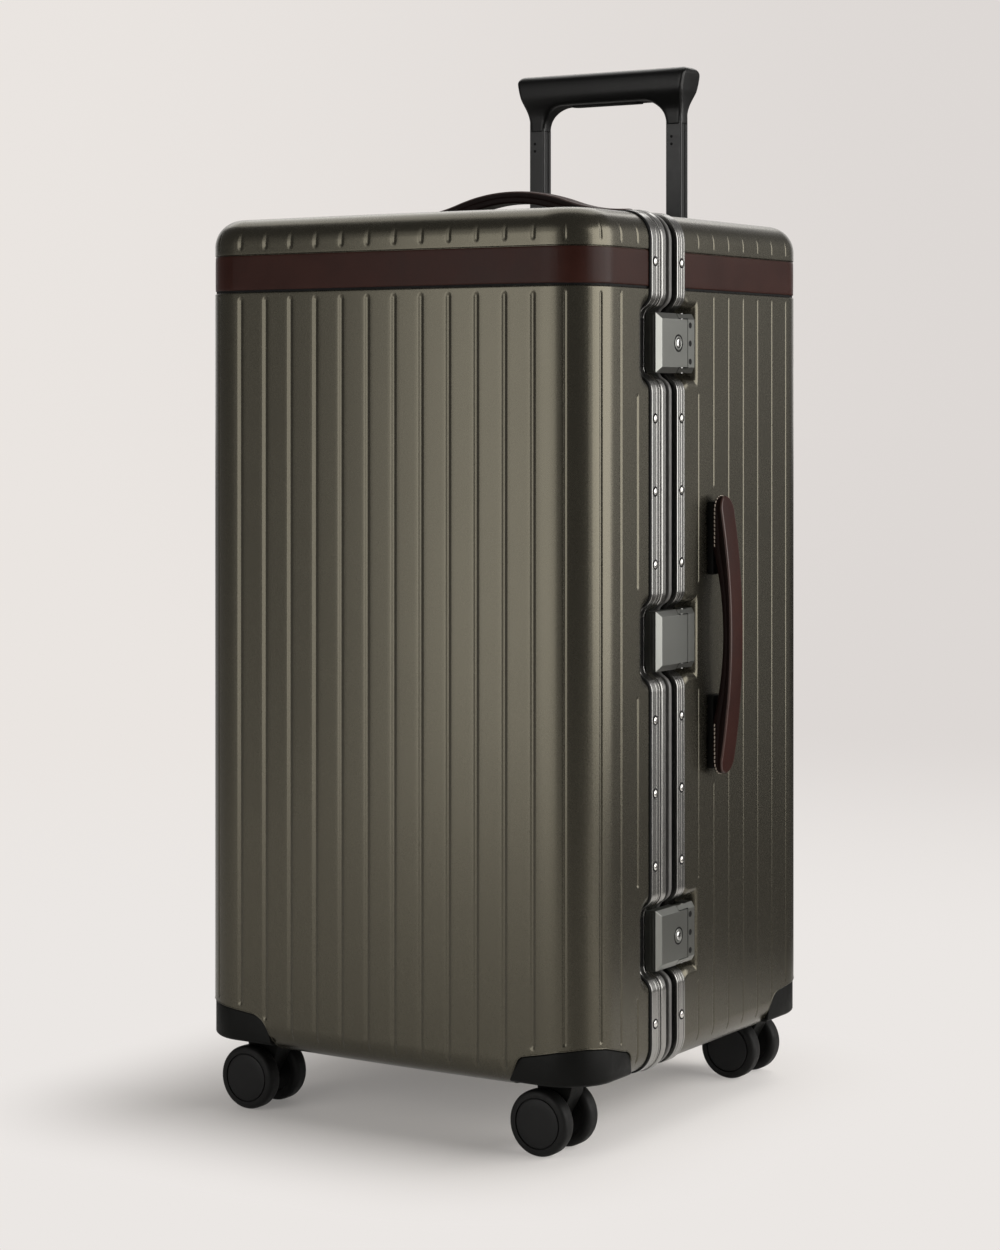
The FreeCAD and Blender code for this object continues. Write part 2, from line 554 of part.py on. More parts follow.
top_plane = lambda u, v: V(u, TOP_HANDLE_Y - HANDLE_W / 2, Z_TOP + v)
side_plane = lambda u, v: V(WIDTH / 2 + v, SIDE_HANDLE_Y - HANDLE_W / 2, Z_MID + u)
node("top_handle_strap", arched_handle(10.2, 29.7, 116.0, 19.0, 84.0, top_plane, V(0, HANDLE_W, 0)))
node("side_handle_strap", handle(13.5, 24.0, 15.5, side_plane, V(0, HANDLE_W, 0)))
mounts_t, mounts_s = [], []
for s in (-1, 1):
    lo, hi = sorted((s * MOUNT_IN, s * MOUNT_OUT))
    mounts_t.append(box(lo, hi, TOP_HANDLE_Y - 10, TOP_HANDLE_Y + 10, Z_TOP, Z_TOP + MOUNT_H))
    mounts_s.append(box(WIDTH / 2, WIDTH / 2 + MOUNT_H, SIDE_HANDLE_Y - 10, SIDE_HANDLE_Y + 10, Z_MID + lo, Z_MID + hi))
node("top_handle_mounts", *mounts_t)
node("side_handle_mounts", *mounts_s)

# ---------------------------------------------------------------- casters
for k, (sx, sy) in CORNERS.items():
    cx, cy = sx * SWIVEL_X, SWIVEL_Y[sy]
    ax = cx - TRAIL
    az = WHEEL_R
    t = -1
    disc = cyl(cx, cy, 58.2, 22.0, 4.4)
    disc = disc.makeChamfer(1.0, edges_at(disc, (58.2,)))
    neck = [(ax - t * 9.0, az), ("arc", (ax, az - 9.0), (ax + t * 9.0, az)), (cx + t * 17.0, 59.0), (cx - t * 17.0, 59.0),
            (cx - t * 14.0, 48.0)]
    fork = poly_face(neck, lambda u, v: V(u, cy - 10.5, v)).extrude(V(0, 21.0, 0))
    fork = fork.fuse(disc).fuse(cyl(cx, cy, 60.0, STEM_R, 8.5)).fuse(cyl(cx, cy, 66.7, 9.0, 1.8))
    fork = fork.cut(cyl(ax, cy - 60, az, AXLE_R, 120, (0, 1, 0))).removeSplitter()
    node("caster_%s_fork" % k, fork)
    half = WHEEL_GAP / 2 + WHEEL_W
    node("caster_%s_axle" % k, cyl(ax, cy - half + 2.0, az, AXLE_R, 2 * half - 4.0, (0, 1, 0)))
    for side, s in (("front", -1), ("back", 1)):
        y0 = cy + (WHEEL_GAP / 2 if s > 0 else -half)
        w = cyl(ax, y0, az, WHEEL_R, WHEEL_W, (0, 1, 0))
        w = w.makeFillet(4.0, [e for e in w.Edges if e.BoundBox.YLength < 1e-4])
        yo = y0 + WHEEL_W if s > 0 else y0
        # outer face: ring groove round the hub cap
        g = cyl(ax, yo - 1.2, az, 20.4, 2.4, (0, 1, 0)).cut(cyl(ax, yo - 1.2, az, 18.8, 2.4, (0, 1, 0)))
        w = w.cut(g)
        # axle bore, blind behind the cap
        y_in = cy + s * (WHEEL_GAP / 2 - 1.0)
        w = w.cut(cyl(ax, y_in, az, AXLE_R + 0.05, WHEEL_W - 0.8, (0, s, 0)))
        # lightening recess on the inner face
        yi = cy + s * (WHEEL_GAP / 2 - 1.0)
        w = w.cut(cyl(ax, yi, az, 19.0, 5.0, (0, s, 0)).cut(cyl(ax, yi, az, 7.0, 5.0, (0, s, 0))))
        node("caster_%s_wheel_%s" % (k, side), w)

# ---------------------------------------------------------------- export
total = None
for name, solids in NODES.items():
    flat = []
    for s in solids:
        flat += s.Solids
    shape = flat[0] if len(flat) == 1 else Part.makeCompound(flat)
    shape.translate(V(X_OFF, 0, 0))
    if not shape.isValid() or not flat:
        print("NOT VALID", name)
    if total is None:
        total = FreeCAD.BoundBox(shape.BoundBox)
    else:
        total.add(shape.BoundBox)
    shape.exportStep("parts/" + name + ".step")
print("nodes", len(NODES), "box", total)
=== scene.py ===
import json
import math

import bmesh
import bpy
import numpy as np
from mathutils import Matrix, Vector

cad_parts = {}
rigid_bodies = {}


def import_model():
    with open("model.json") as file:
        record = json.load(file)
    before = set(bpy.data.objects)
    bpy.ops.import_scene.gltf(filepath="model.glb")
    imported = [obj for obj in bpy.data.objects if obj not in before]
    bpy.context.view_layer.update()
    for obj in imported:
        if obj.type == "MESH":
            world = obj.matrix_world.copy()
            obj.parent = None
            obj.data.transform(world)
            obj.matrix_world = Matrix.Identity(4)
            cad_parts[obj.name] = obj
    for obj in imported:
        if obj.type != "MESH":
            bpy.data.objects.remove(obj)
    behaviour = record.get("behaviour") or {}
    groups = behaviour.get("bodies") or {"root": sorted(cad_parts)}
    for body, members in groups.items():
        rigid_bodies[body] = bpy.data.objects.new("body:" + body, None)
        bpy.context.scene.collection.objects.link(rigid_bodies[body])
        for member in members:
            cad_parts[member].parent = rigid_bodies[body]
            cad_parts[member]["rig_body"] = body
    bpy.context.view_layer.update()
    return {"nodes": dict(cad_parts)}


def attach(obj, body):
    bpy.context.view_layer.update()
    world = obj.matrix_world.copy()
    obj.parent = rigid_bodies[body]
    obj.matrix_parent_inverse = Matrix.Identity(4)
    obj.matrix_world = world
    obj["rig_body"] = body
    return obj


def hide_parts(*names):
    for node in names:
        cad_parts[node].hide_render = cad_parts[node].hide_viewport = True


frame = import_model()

# ------------------------------------------------------------------ dimensions, mm, body centred
MM = 0.001
X_OFF = -7.25
HALF = 200.0
Z_BOT, Z_TOP = 57.5, 778.0
R_VERT, R_EDGE = 44.0, 24.0
FLAT = HALF - R_VERT
ARC = R_VERT * math.pi / 2
TOTAL = 8 * FLAT + 4 * ARC
Z_MID = 0.5 * (Z_BOT + Z_TOP)
LATCH_Z = [Z_MID - 250.5, Z_MID, Z_MID + 250.5]
LATCH_N = ["bottom", "middle", "top"]
LID_RIM, BASE_RIM = -76.2, -49.2
DIP, DIP_FLAT, DIP_RUN = 12.5, 41.0, 21.0
DIP_R = (DIP_RUN ** 2 + DIP ** 2) / (4 * DIP)
DIP_A = 2 * math.atan2(DIP, DIP_RUN)
PITCH_LID = 27.18
GROOVE_FLAT, GROOVE_BEND, GROOVE_BASE = (3.45, 0.95), (2.1, 0.85), (1.35, 0.5)
LID_FLANGE, BASE_FLANGE = -95.5, -38.9
CORNERS = {"front_left": (-1, -1), "front_right": (1, -1), "rear_left": (-1, 1), "rear_right": (1, 1)}
SWIVEL_X, SWIVEL_Y, TRAIL = 150.0, {-1: -156.0, 1: 172.0}, 7.0
PI = math.pi
LIP = 5.2

# ------------------------------------------------------------------ materials
MATS = {}


def srgb(r, g, b):
    def f(c):
        c /= 255.0
        return c / 12.92 if c <= 0.04045 else ((c + 0.055) / 1.055) ** 2.4
    return (f(r), f(g), f(b), 1.0)


class Mat:
    """one principled material with helpers for its detail"""

    def __init__(self, name, color, metallic=0.0, rough=0.5, **socks):
        self.m = bpy.data.materials.new(name)
        self.m.use_nodes = True
        self.nt = self.m.node_tree
        self.nt.nodes.clear()
        self.out = self.nt.nodes.new("ShaderNodeOutputMaterial")
        self.b = self.nt.nodes.new("ShaderNodeBsdfPrincipled")
        self.nt.links.new(self.b.outputs[0], self.out.inputs[0])
        self.color, self.rough = color, rough
        self.b.inputs["Base Color"].default_value = color
        self.b.inputs["Metallic"].default_value = metallic
        self.b.inputs["Roughness"].default_value = rough
        for k, v in socks.items():
            self.b.inputs[k.replace("_", " ")].default_value = v
        self.coord = self.nt.nodes.new("ShaderNodeTexCoord").outputs["Object"]
        self.height = None
        MATS[name] = self.m

    def node(self, kind, **props):
        n = self.nt.nodes.new(kind)
        for k, v in props.items():
            setattr(n, k, v)
        return n

    def link(self, a, b):
        self.nt.links.new(a, b)

    def mapped(self, scale=(1, 1, 1), rot=(0, 0, 0)):
        mp = self.node("ShaderNodeMapping")
        mp.inputs["Scale"].default_value = scale
        mp.inputs["Rotation"].default_value = rot
        self.link(self.coord, mp.inputs["Vector"])
        return mp.outputs[0]

    def noise(self, scale, detail=3.0, rough=0.55, vec=None, distortion=0.0):
        n = self.node("ShaderNodeTexNoise")
        n.inputs["Scale"].default_value = scale
        n.inputs["Detail"].default_value = detail
        n.inputs["Roughness"].default_value = rough
        n.inputs["Distortion"].default_value = distortion
        self.link(vec or self.coord, n.inputs["Vector"])
        return n.outputs["Fac"]

    def voronoi(self, scale, feature="F1", vec=None, out="Distance", randomness=1.0):
        n = self.node("ShaderNodeTexVoronoi", feature=feature)
        n.inputs["Scale"].default_value = scale
        n.inputs["Randomness"].default_value = randomness
        self.link(vec or self.coord, n.inputs["Vector"])
        return n.outputs[out]

    def ramp(self, fac, lo, hi, a=0.0, b=1.0):
        n = self.node("ShaderNodeMapRange")
        n.inputs["From Min"].default_value = lo
        n.inputs["From Max"].default_value = hi
        n.inputs["To Min"].default_value = a
        n.inputs["To Max"].default_value = b
        self.link(fac, n.inputs["Value"])
        return n.outputs[0]

    def math(self, op, a, b):
        n = self.node("ShaderNodeMath", operation=op)
        for i, v in enumerate((a, b)):
            if isinstance(v, (int, float)):
                n.inputs[i].default_value = v
            else:
                self.link(v, n.inputs[i])
        return n.outputs[0]

    def mix(self, fac, a, b):
        n = self.node("ShaderNodeMix", data_type="RGBA")
        self.link(fac, n.inputs[0])
        for sock, v in ((n.inputs[6], a), (n.inputs[7], b)):
            if isinstance(v, (tuple, list)):
                sock.default_value = v
            else:
                self.link(v, sock)
        return n.outputs[2]

    def tint(self, fac, dark, light):
        """colour between dark and light times the base colour"""
        c = self.color
        lo = tuple(min(1.0, c[i] * dark) for i in range(3)) + (1,)
        hi = tuple(min(1.0, c[i] * light) for i in range(3)) + (1,)
        return self.mix(fac, lo, hi)

    def set_color(self, sock):
        self.link(sock, self.b.inputs["Base Color"])

    def set_rough(self, sock):
        self.link(sock, self.b.inputs["Roughness"])

    def bump(self, height, dist_mm, strength=1.0):
        n = self.node("ShaderNodeBump")
        n.inputs["Strength"].default_value = strength
        n.inputs["Distance"].default_value = dist_mm * MM
        self.link(height, n.inputs["Height"])
        if self.height is not None:
            self.link(self.height, n.inputs["Normal"])
        self.height = n.outputs["Normal"]
        self.link(self.height, self.b.inputs["Normal"])


def make_materials():
    # satin metallic lacquer of the shells: fine flake, faint cloudiness, slight orange peel
    m = Mat("shell_lacquer", (0.084, 0.0780, 0.0600, 1), 0.88, 0.27)
    cloud = m.noise(7.0, 3.0)
    flake = m.voronoi(2600.0, out="Color")
    sep = m.node("ShaderNodeSeparateColor")
    m.link(flake, sep.inputs[0])
    spark = m.ramp(sep.outputs[0], 0.0, 1.0, 0.0, 1.0)
    base = m.tint(m.ramp(cloud, 0.3, 0.7), 0.985, 1.015)
    hi = m.tint(m.ramp(cloud, 0.3, 0.7), 1.03, 1.08)
    m.set_color(m.mix(spark, base, hi))
    m.set_rough(m.math("ADD", m.ramp(m.noise(24.0, 2.0), 0.3, 0.7, 0.264, 0.276), m.ramp(sep.outputs[1], 0, 1, -0.008, 0.008)))
    m.bump(m.noise(420.0, 2.0), 0.004, 0.2)

    # bead-blasted, anodised aluminium of the frame
    m = Mat("frame_aluminium", (0.305, 0.302, 0.293, 1), 1.0, 0.26)
    m.set_color(m.tint(m.ramp(m.noise(30.0, 3.0), 0.3, 0.7), 0.98, 1.02))
    m.set_rough(m.ramp(m.noise(60.0, 2.0), 0.3, 0.7, 0.25, 0.27))
    m.bump(m.noise(700.0, 2.0, vec=m.mapped((0.01, 1.0, 0.01))), 0.006, 0.2)

    m = Mat("rivet_aluminium", (0.62, 0.61, 0.59, 1), 1.0, 0.22)
    m.set_rough(m.ramp(m.noise(900.0, 3.0), 0.3, 0.7, 0.17, 0.30))
    m.set_color(m.tint(m.ramp(m.noise(300.0, 3.0), 0.3, 0.7), 0.9, 1.06))

    m = Mat("seal_rubber", (0.095, 0.093, 0.090, 1), 0.0, 0.40)
    m.set_rough(m.ramp(m.noise(200.0, 4.0), 0.3, 0.7, 0.36, 0.52))
    m.set_color(m.tint(m.ramp(m.noise(60.0, 4.0), 0.3, 0.7), 0.85, 1.15))
    m.bump(m.noise(1500.0, 3.0), 0.03, 0.4)

    m = Mat("shadow_black", (0.0035, 0.0035, 0.0035, 1), 0.0, 0.6, Specular_IOR_Level=0.12)
    m.set_rough(m.ramp(m.noise(300.0, 3.0), 0.3, 0.7, 0.5, 0.7))

    # leathers: grain of small cells with pores and faint folds
    def leather(name, col, rough, grain=1.0, spec=0.17):
        m = Mat(name, col, 0.0, rough, Specular_IOR_Level=spec)
        warp = m.noise(160.0, 2.0)
        comb = m.node("ShaderNodeVectorMath", operation="MULTIPLY_ADD")
        m.link(warp, comb.inputs[0])
        comb.inputs[1].default_value = (0.0016, 0.0016, 0.0016)
        m.link(m.coord, comb.inputs[2])
        cells = m.voronoi(900.0, "DISTANCE_TO_EDGE", vec=comb.outputs[0])
        big = m.voronoi(330.0, "DISTANCE_TO_EDGE", vec=comb.outputs[0])
        patch = m.noise(26.0, 4.0)
        tone = m.math("ADD", m.ramp(patch, 0.3, 0.7, 0.0, 0.7), m.ramp(cells, 0.0, 0.25, 0.0, 0.3))
        m.set_color(m.tint(tone, 0.74, 1.22))
        m.set_rough(m.math("ADD", m.ramp(patch, 0.3, 0.7, rough - 0.06, rough + 0.05), m.ramp(cells, 0.0, 0.2, 0.08, 0.0)))
        m.bump(m.ramp(big, 0.0, 0.16), 0.05 * grain, 0.35)
        m.bump(m.ramp(cells, 0.0, 0.22), 0.045 * grain, 0.5)
        m.bump(m.noise(3200.0, 2.0), 0.012, 0.4)
        return m

    leather("band_leather", (0.0275, 0.0088, 0.0062, 1), 0.34, 0.5, 0.115)
    leather("handle_leather", (0.0250, 0.0068, 0.0048, 1), 0.47, 0.8, 0.09)
    # painted shade: a darker copy of the handle leather for the straps' sides and inner faces
    leather("edge_leather", (0.010, 0.0040, 0.0034, 1), 0.5, 0.5, 0.12)
    # painted highlight: a lighter, glossier copy of the leather for the straps' rounded outer edges
    leather("bead_leather", (0.050, 0.022, 0.017, 1), 0.34, 0.3, 0.4)

    m = Mat("thread", (0.52, 0.45, 0.38, 1), 0.0, 0.62)
    m.set_color(m.tint(m.ramp(m.noise(1800.0, 2.0), 0.3, 0.7), 0.75, 1.1))
    m.bump(m.noise(3600.0, 2.0), 0.06, 0.6)

    # moulded black plastics
    m = Mat("black_moulding", (0.0052, 0.0054, 0.0050, 1), 0.0, 0.42, Specular_IOR_Level=0.09)
    m.set_color(m.tint(m.ramp(m.noise(40.0, 4.0), 0.3, 0.7), 0.86, 1.16))
    m.set_rough(m.ramp(m.noise(260.0, 4.0), 0.3, 0.7, 0.42, 0.54))
    m.bump(m.voronoi(1500.0), 0.012, 0.35)

    # painted shade: a dark copy of the latch finish for each lever's end, sides and underside, its pin block and skirt,
    # as if they sat in the pocket's shade
    m = Mat("latch_body", (0.046, 0.048, 0.043, 1), 0.0, 0.42, Specular_IOR_Level=0.2)
    m.set_color(m.tint(m.ramp(m.noise(60.0, 3.0), 0.3, 0.7), 0.88, 1.14))
    m.set_rough(m.ramp(m.noise(300.0, 4.0), 0.3, 0.7, 0.38, 0.48))
    m.bump(m.voronoi(1600.0), 0.010, 0.3)

    m = Mat("grip_moulding", (0.0050, 0.0051, 0.0052, 1), 0.0, 0.31, Specular_IOR_Level=0.24)
    m.set_color(m.tint(m.ramp(m.noise(30.0, 4.0), 0.3, 0.7), 0.88, 1.14))
    m.set_rough(m.ramp(m.noise(300.0, 4.0), 0.3, 0.7, 0.29, 0.37))
    m.bump(m.voronoi(1900.0), 0.006, 0.3)

    m = Mat("tube_anodised", (0.034, 0.0343, 0.0347, 1), 0.75, 0.30)
    m.set_rough(m.ramp(m.noise(180.0, 4.0), 0.3, 0.7, 0.29, 0.40))
    m.set_color(m.tint(m.ramp(m.noise(24.0, 3.0), 0.3, 0.7), 0.9, 1.12))
    m.bump(m.noise(1000.0, 2.0, vec=m.mapped((1.0, 1.0, 0.01))), 0.010, 0.3)

    m = Mat("wheel_rubber", (0.0058, 0.0058, 0.0057, 1), 0.0, 0.50, Specular_IOR_Level=0.17)
    m.set_color(m.tint(m.ramp(m.noise(90.0, 4.0), 0.3, 0.7), 0.8, 1.25))
    m.set_rough(m.ramp(m.noise(240.0, 4.0), 0.3, 0.7, 0.48, 0.64))
    m.bump(m.noise(1600.0, 3.0), 0.012, 0.35)

    m = Mat("wheel_cap", (0.0060, 0.0061, 0.0062, 1), 0.0, 0.42, Specular_IOR_Level=0.19)
    m.set_color(m.tint(m.ramp(m.noise(70.0, 4.0), 0.3, 0.7), 0.88, 1.15))
    m.set_rough(m.ramp(m.noise(300.0, 4.0), 0.3, 0.7, 0.37, 0.50))
    m.bump(m.voronoi(1700.0), 0.02, 0.35)

    # dark grey anodised latch plates
    m = Mat("latch_satin", (0.185, 0.189, 0.177, 1), 0.9, 0.29)
    m.set_color(m.tint(m.ramp(m.noise(40.0, 3.0), 0.3, 0.7), 0.98, 1.02))
    m.set_rough(m.ramp(m.noise(90.0, 2.0), 0.3, 0.7, 0.285, 0.305))
    m.bump(m.noise(2400.0, 2.0), 0.0012, 0.2)

    m = Mat("steel_satin", (0.52, 0.52, 0.51, 1), 1.0, 0.27)
    m.set_rough(m.ramp(m.noise(500.0, 4.0), 0.3, 0.7, 0.21, 0.35))
    m.set_color(m.tint(m.ramp(m.noise(120.0, 4.0), 0.3, 0.7), 0.9, 1.05))
    m.bump(m.noise(1400.0, 2.0, vec=m.mapped((1.0, 1.0, 0.02))), 0.010, 0.3)

    # woven lining
    m = Mat("lining_weave", (0.105, 0.097, 0.082, 1), 0.0, 0.86, Sheen_Weight=0.25)
    w1 = m.node("ShaderNodeTexWave", wave_type="BANDS", bands_direction="Z")
    w2 = m.node("ShaderNodeTexWave", wave_type="BANDS", bands_direction="DIAGONAL")
    for w in (w1, w2):
        w.inputs["Scale"].default_value = 260.0
        w.inputs["Distortion"].default_value = 0.6
        w.inputs["Detail"].default_value = 1.0
        m.link(m.coord, w.inputs["Vector"])
    weave = m.math("MULTIPLY", w1.outputs["Fac"], w2.outputs["Fac"])
    tone = m.math("ADD", m.ramp(weave, 0.0, 1.0, 0.0, 0.6), m.ramp(m.noise(12.0, 4.0), 0.3, 0.7, 0.0, 0.4))
    m.set_color(m.tint(tone, 0.72, 1.18))
    m.bump(weave, 0.18, 0.6)


make_materials()


# ------------------------------------------------------------------ mesh helpers
class Parts:
    def __init__(self):
        self.v, self.f, self.m = [], [], []

    def add(self, vf, mat=0):
        v, f = vf
        o = len(self.v)
        self.v += [tuple(p) for p in v]
        self.f += [tuple(i + o for i in q) for q in f]
        self.m += [mat] * len(f)
        return self


def finish_mesh(bm, name, mats, body, replaces, sharp):
    me = bpy.data.meshes.new(name)
    bm.to_mesh(me)
    bm.free()
    for k in mats:
        me.materials.append(MATS[k])
    me.shade_smooth()
    me.set_sharp_from_angle(angle=math.radians(sharp))
    ob = bpy.data.objects.new(name, me)
    bpy.context.scene.collection.objects.link(ob)
    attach(ob, body)
    if replaces:
        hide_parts(*replaces)
    return ob


def weigh(ob):
    w = ob.modifiers.new("weighted", "WEIGHTED_NORMAL")
    w.keep_sharp = True
    w.weight = 100
    return ob


def to_bm(parts):
    me = bpy.data.meshes.new("tmp")
    v = np.asarray(parts.v, float).copy()
    v[:, 0] += X_OFF
    me.from_pydata((v * MM).tolist(), [], parts.f)
    me.polygons.foreach_set("material_index", parts.m)
    bm = bmesh.new()
    bm.from_mesh(me)
    bpy.data.meshes.remove(me)
    bmesh.ops.recalc_face_normals(bm, faces=bm.faces)
    return bm


def round_edges(bm, width, seg=2, ang=30.0):
    edges = [e for e in bm.edges if len(e.link_faces) == 2 and e.calc_face_angle(0) > math.radians(ang)]
    if edges and width > 0:
        bmesh.ops.bevel(bm, geom=edges, offset=width * MM, offset_type="OFFSET", segments=seg, profile=0.5,
                        affect="EDGES", clamp_overlap=True, loop_slide=True, material=-1)


def piece(name, parts, mats, body, replaces=(), bevel=0.0, seg=2, ang=30.0, sharp=35.0):
    bm = to_bm(parts)
    round_edges(bm, bevel, seg, ang)
    return finish_mesh(bm, name, mats, body, replaces, sharp)


def refined(name, node, mats, bevel, seg=2, ang=32.0, sharp=35.0):
    """the CAD shape of a node with its sharp edges eased"""
    src = frame["nodes"][node]
    bm = bmesh.new()
    bm.from_mesh(src.data)
    bmesh.ops.remove_doubles(bm, verts=bm.verts, dist=2e-6)
    bmesh.ops.dissolve_limit(bm, angle_limit=math.radians(0.6), use_dissolve_boundaries=False,
                             verts=bm.verts, edges=bm.edges)
    for f in bm.faces:
        f.material_index = 0
    round_edges(bm, bevel, seg, ang)
    return finish_mesh(bm, name, mats, src["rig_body"], (node,), sharp)


def loft(rings, closed=False, cap=True):
    n = len(rings[0])
    v = [p for r in rings for p in r]
    f = []
    m = len(rings)
    for i in range(m if closed else m - 1):
        k = (i + 1) % m
        for j in range(n):
            l = (j + 1) % n
            f.append((i * n + j, i * n + l, k * n + l, k * n + j))
    if cap and not closed:
        f.append(tuple(range(n - 1, -1, -1)))
        f.append(tuple((m - 1) * n + j for j in range(n)))
    return v, f


def box(x0, x1, y0, y1, z0, z1):
    v = [(x, y, z) for x in (x0, x1) for y in (y0, y1) for z in (z0, z1)]
    f = [(0, 1, 3, 2), (4, 6, 7, 5), (0, 4, 5, 1), (2, 3, 7, 6), (0, 2, 6, 4), (1, 5, 7, 3)]
    return v, f


def lathe(profile, centre, axis, n=48, start=None):
    """profile of (radius, height) round an axis"""
    a = Vector(axis).normalized()
    u = a.orthogonal().normalized() if start is None else Vector(start).normalized()
    w = a.cross(u)
    c = Vector(centre)
    rings = []
    for r, h in profile:
        r = max(r, 1e-3)
        rings.append([tuple(c + a * h + u * (r * math.cos(2 * PI * i / n)) + w * (r * math.sin(2 * PI * i / n)))
                      for i in range(n)])
    return loft(rings)


# ------------------------------------------------------------------ plan of the body
SEG = [FLAT, ARC, 2 * FLAT, ARC, 2 * FLAT, ARC, 2 * FLAT, ARC, FLAT]
SEG_S = np.cumsum([0.0] + SEG)
S_RIGHT = SEG_S[2] + FLAT          # s at x = 200, y = 0
S_LEFT = SEG_S[6] + FLAT           # s at x = -200, y = 0


def perim(s):
    """x, y and outward normal on the body's outline; s runs from the middle of the front towards +X"""
    s = np.asarray(s, float) % TOTAL
    k = np.clip(np.searchsorted(SEG_S, s, side="right") - 1, 0, 8)
    u = s - SEG_S[k]
    x, y, nx, ny = (np.zeros_like(s) for _ in range(4))
    for i, (px, py, dx, dy) in {0: (0, -HALF, 1, 0), 2: (HALF, -FLAT, 0, 1), 4: (FLAT, HALF, -1, 0),
                                6: (-HALF, FLAT, 0, -1), 8: (-FLAT, -HALF, 1, 0)}.items():
        q = k == i
        x[q], y[q] = px + dx * u[q], py + dy * u[q]
        nx[q], ny[q] = dy, -dx
    for i, (cx, cy, a0) in {1: (FLAT, -FLAT, -PI / 2), 3: (FLAT, FLAT, 0.0), 5: (-FLAT, FLAT, PI / 2),
                            7: (-FLAT, -FLAT, PI)}.items():
        q = k == i
        t = a0 + u[q] / R_VERT
        nx[q], ny[q] = np.cos(t), np.sin(t)
        x[q], y[q] = cx + R_VERT * np.cos(t), cy + R_VERT * np.sin(t)
    return x, y, nx, ny


def wrap(s):
    return (np.asarray(s, float) + TOTAL / 2) % TOTAL - TOTAL / 2


def crown(s):
    """the front face stands a little proud in its middle"""
    q = np.clip(np.abs(wrap(s)) / 172.0, 0, 1)
    return 2.3 * (1 - q * q) ** 2


def section(z):
    """inset and normal of the body's edge roundings at height z"""
    z = np.asarray(z, float)
    lo, hi = Z_BOT + R_EDGE, Z_TOP - R_EDGE
    t = np.where(z < lo, (z - lo) / R_EDGE, np.where(z > hi, (z - hi) / R_EDGE, 0.0))
    t = np.clip(t, -1, 1)
    c = np.sqrt(1 - t * t)
    return R_EDGE * (1 - c), c, t


def surface(s, z, n):
    """points n out of the body's skin"""
    s, z, n = np.broadcast_arrays(np.asarray(s, float), np.asarray(z, float), np.asarray(n, float))
    x, y, nx, ny = perim(s)
    ins, nr, nz = section(z)
    out = -ins + nr * n
    return np.stack([x + nx * out, y + ny * out, z + nz * n], axis=-1)


def arc_points(a, b, c, n):
    """n + 1 points on the circle through a, b and c, from a to c"""
    k = 2 * (a[0] * (b[1] - c[1]) + b[0] * (c[1] - a[1]) + c[0] * (a[1] - b[1]))
    sq = [q[0] ** 2 + q[1] ** 2 for q in (a, b, c)]
    ox = (sq[0] * (b[1] - c[1]) + sq[1] * (c[1] - a[1]) + sq[2] * (a[1] - b[1])) / k
    oy = (sq[0] * (c[0] - b[0]) + sq[1] * (a[0] - c[0]) + sq[2] * (b[0] - a[0])) / k
    r = math.hypot(a[0] - ox, a[1] - oy)
    t = [math.atan2(q[1] - oy, q[0] - ox) for q in (a, b, c)]
    for i in (1, 2):
        while t[i] - t[i - 1] > PI:
            t[i] -= 2 * PI
        while t[i] - t[i - 1] < -PI:
            t[i] += 2 * PI
    return [(ox + r * math.cos(t[0] + (t[2] - t[0]) * i / n), oy + r * math.sin(t[0] + (t[2] - t[0]) * i / n)) for i in range(n + 1)]


# edge lines of the corner housings above the shell's underside, by distance from the upright corner line
LONG = [(-12.0, 38.5), (0.0, 37.25), (30.0, 34.125)] + arc_points((60.0, 31.0), (74.0, 26.0), (81.0, 14.0), 10) + [(88.0, -12.0)]
SHORT_FRONT = [(-12.0, 38.5), (0.0, 37.09), (28.0, 33.8)] + arc_points((58.5, 27.5), (63.7, 25.2), (66.8, 20.6), 8) + [(73.5, 7.0), (78.0, -12.0)]
SHORT_SIDE = [(-12.0, 38.5), (0.0, 37.37), (35.0, 34.1)] + arc_points((62.5, 26.8), (70.3, 23.6), (73.6, 17.0), 8) + [(78.0, -12.0)]
EDGE_LINES = {"front_right": (SHORT_FRONT, SHORT_SIDE)}


def along(line, d):
    return np.interp(d, [q[0] for q in line], [q[1] for q in line])


def corner_rise(s):
    """height of the housing's edge line above the shell's underside along the outline"""
    x, y, _, _ = perim(s)
    near = (x > 0) & (y < 0)
    dx, dy = HALF - np.abs(x), HALF - np.abs(y)
    return np.minimum(np.where(near, along(SHORT_FRONT, dx), along(LONG, dx)), np.where(near, along(SHORT_SIDE, dy), along(LONG, dy)))


def s_bend(u):
    """depth of an S bend of two arcs, u from 0 at its start to DIP_RUN"""
    u = np.asarray(u, float)
    a = DIP_R - np.sqrt(np.maximum(DIP_R ** 2 - np.clip(u, 0, DIP_RUN / 2) ** 2, 0))
    b = DIP - (DIP_R - np.sqrt(np.maximum(DIP_R ** 2 - np.clip(DIP_RUN - u, 0, DIP_RUN / 2) ** 2, 0)))
    return np.where(u <= 0, 0.0, np.where(u < DIP_RUN / 2, a, np.where(u < DIP_RUN, b, DIP)))


def dip(z):
    """how far the frame dips in at height z"""
    z = np.asarray(z, float)
    out = np.zeros_like(z)
    for zc in LATCH_Z:
        out = np.maximum(out, s_bend(DIP_FLAT / 2 + DIP_RUN - np.abs(z - zc)))
    return out


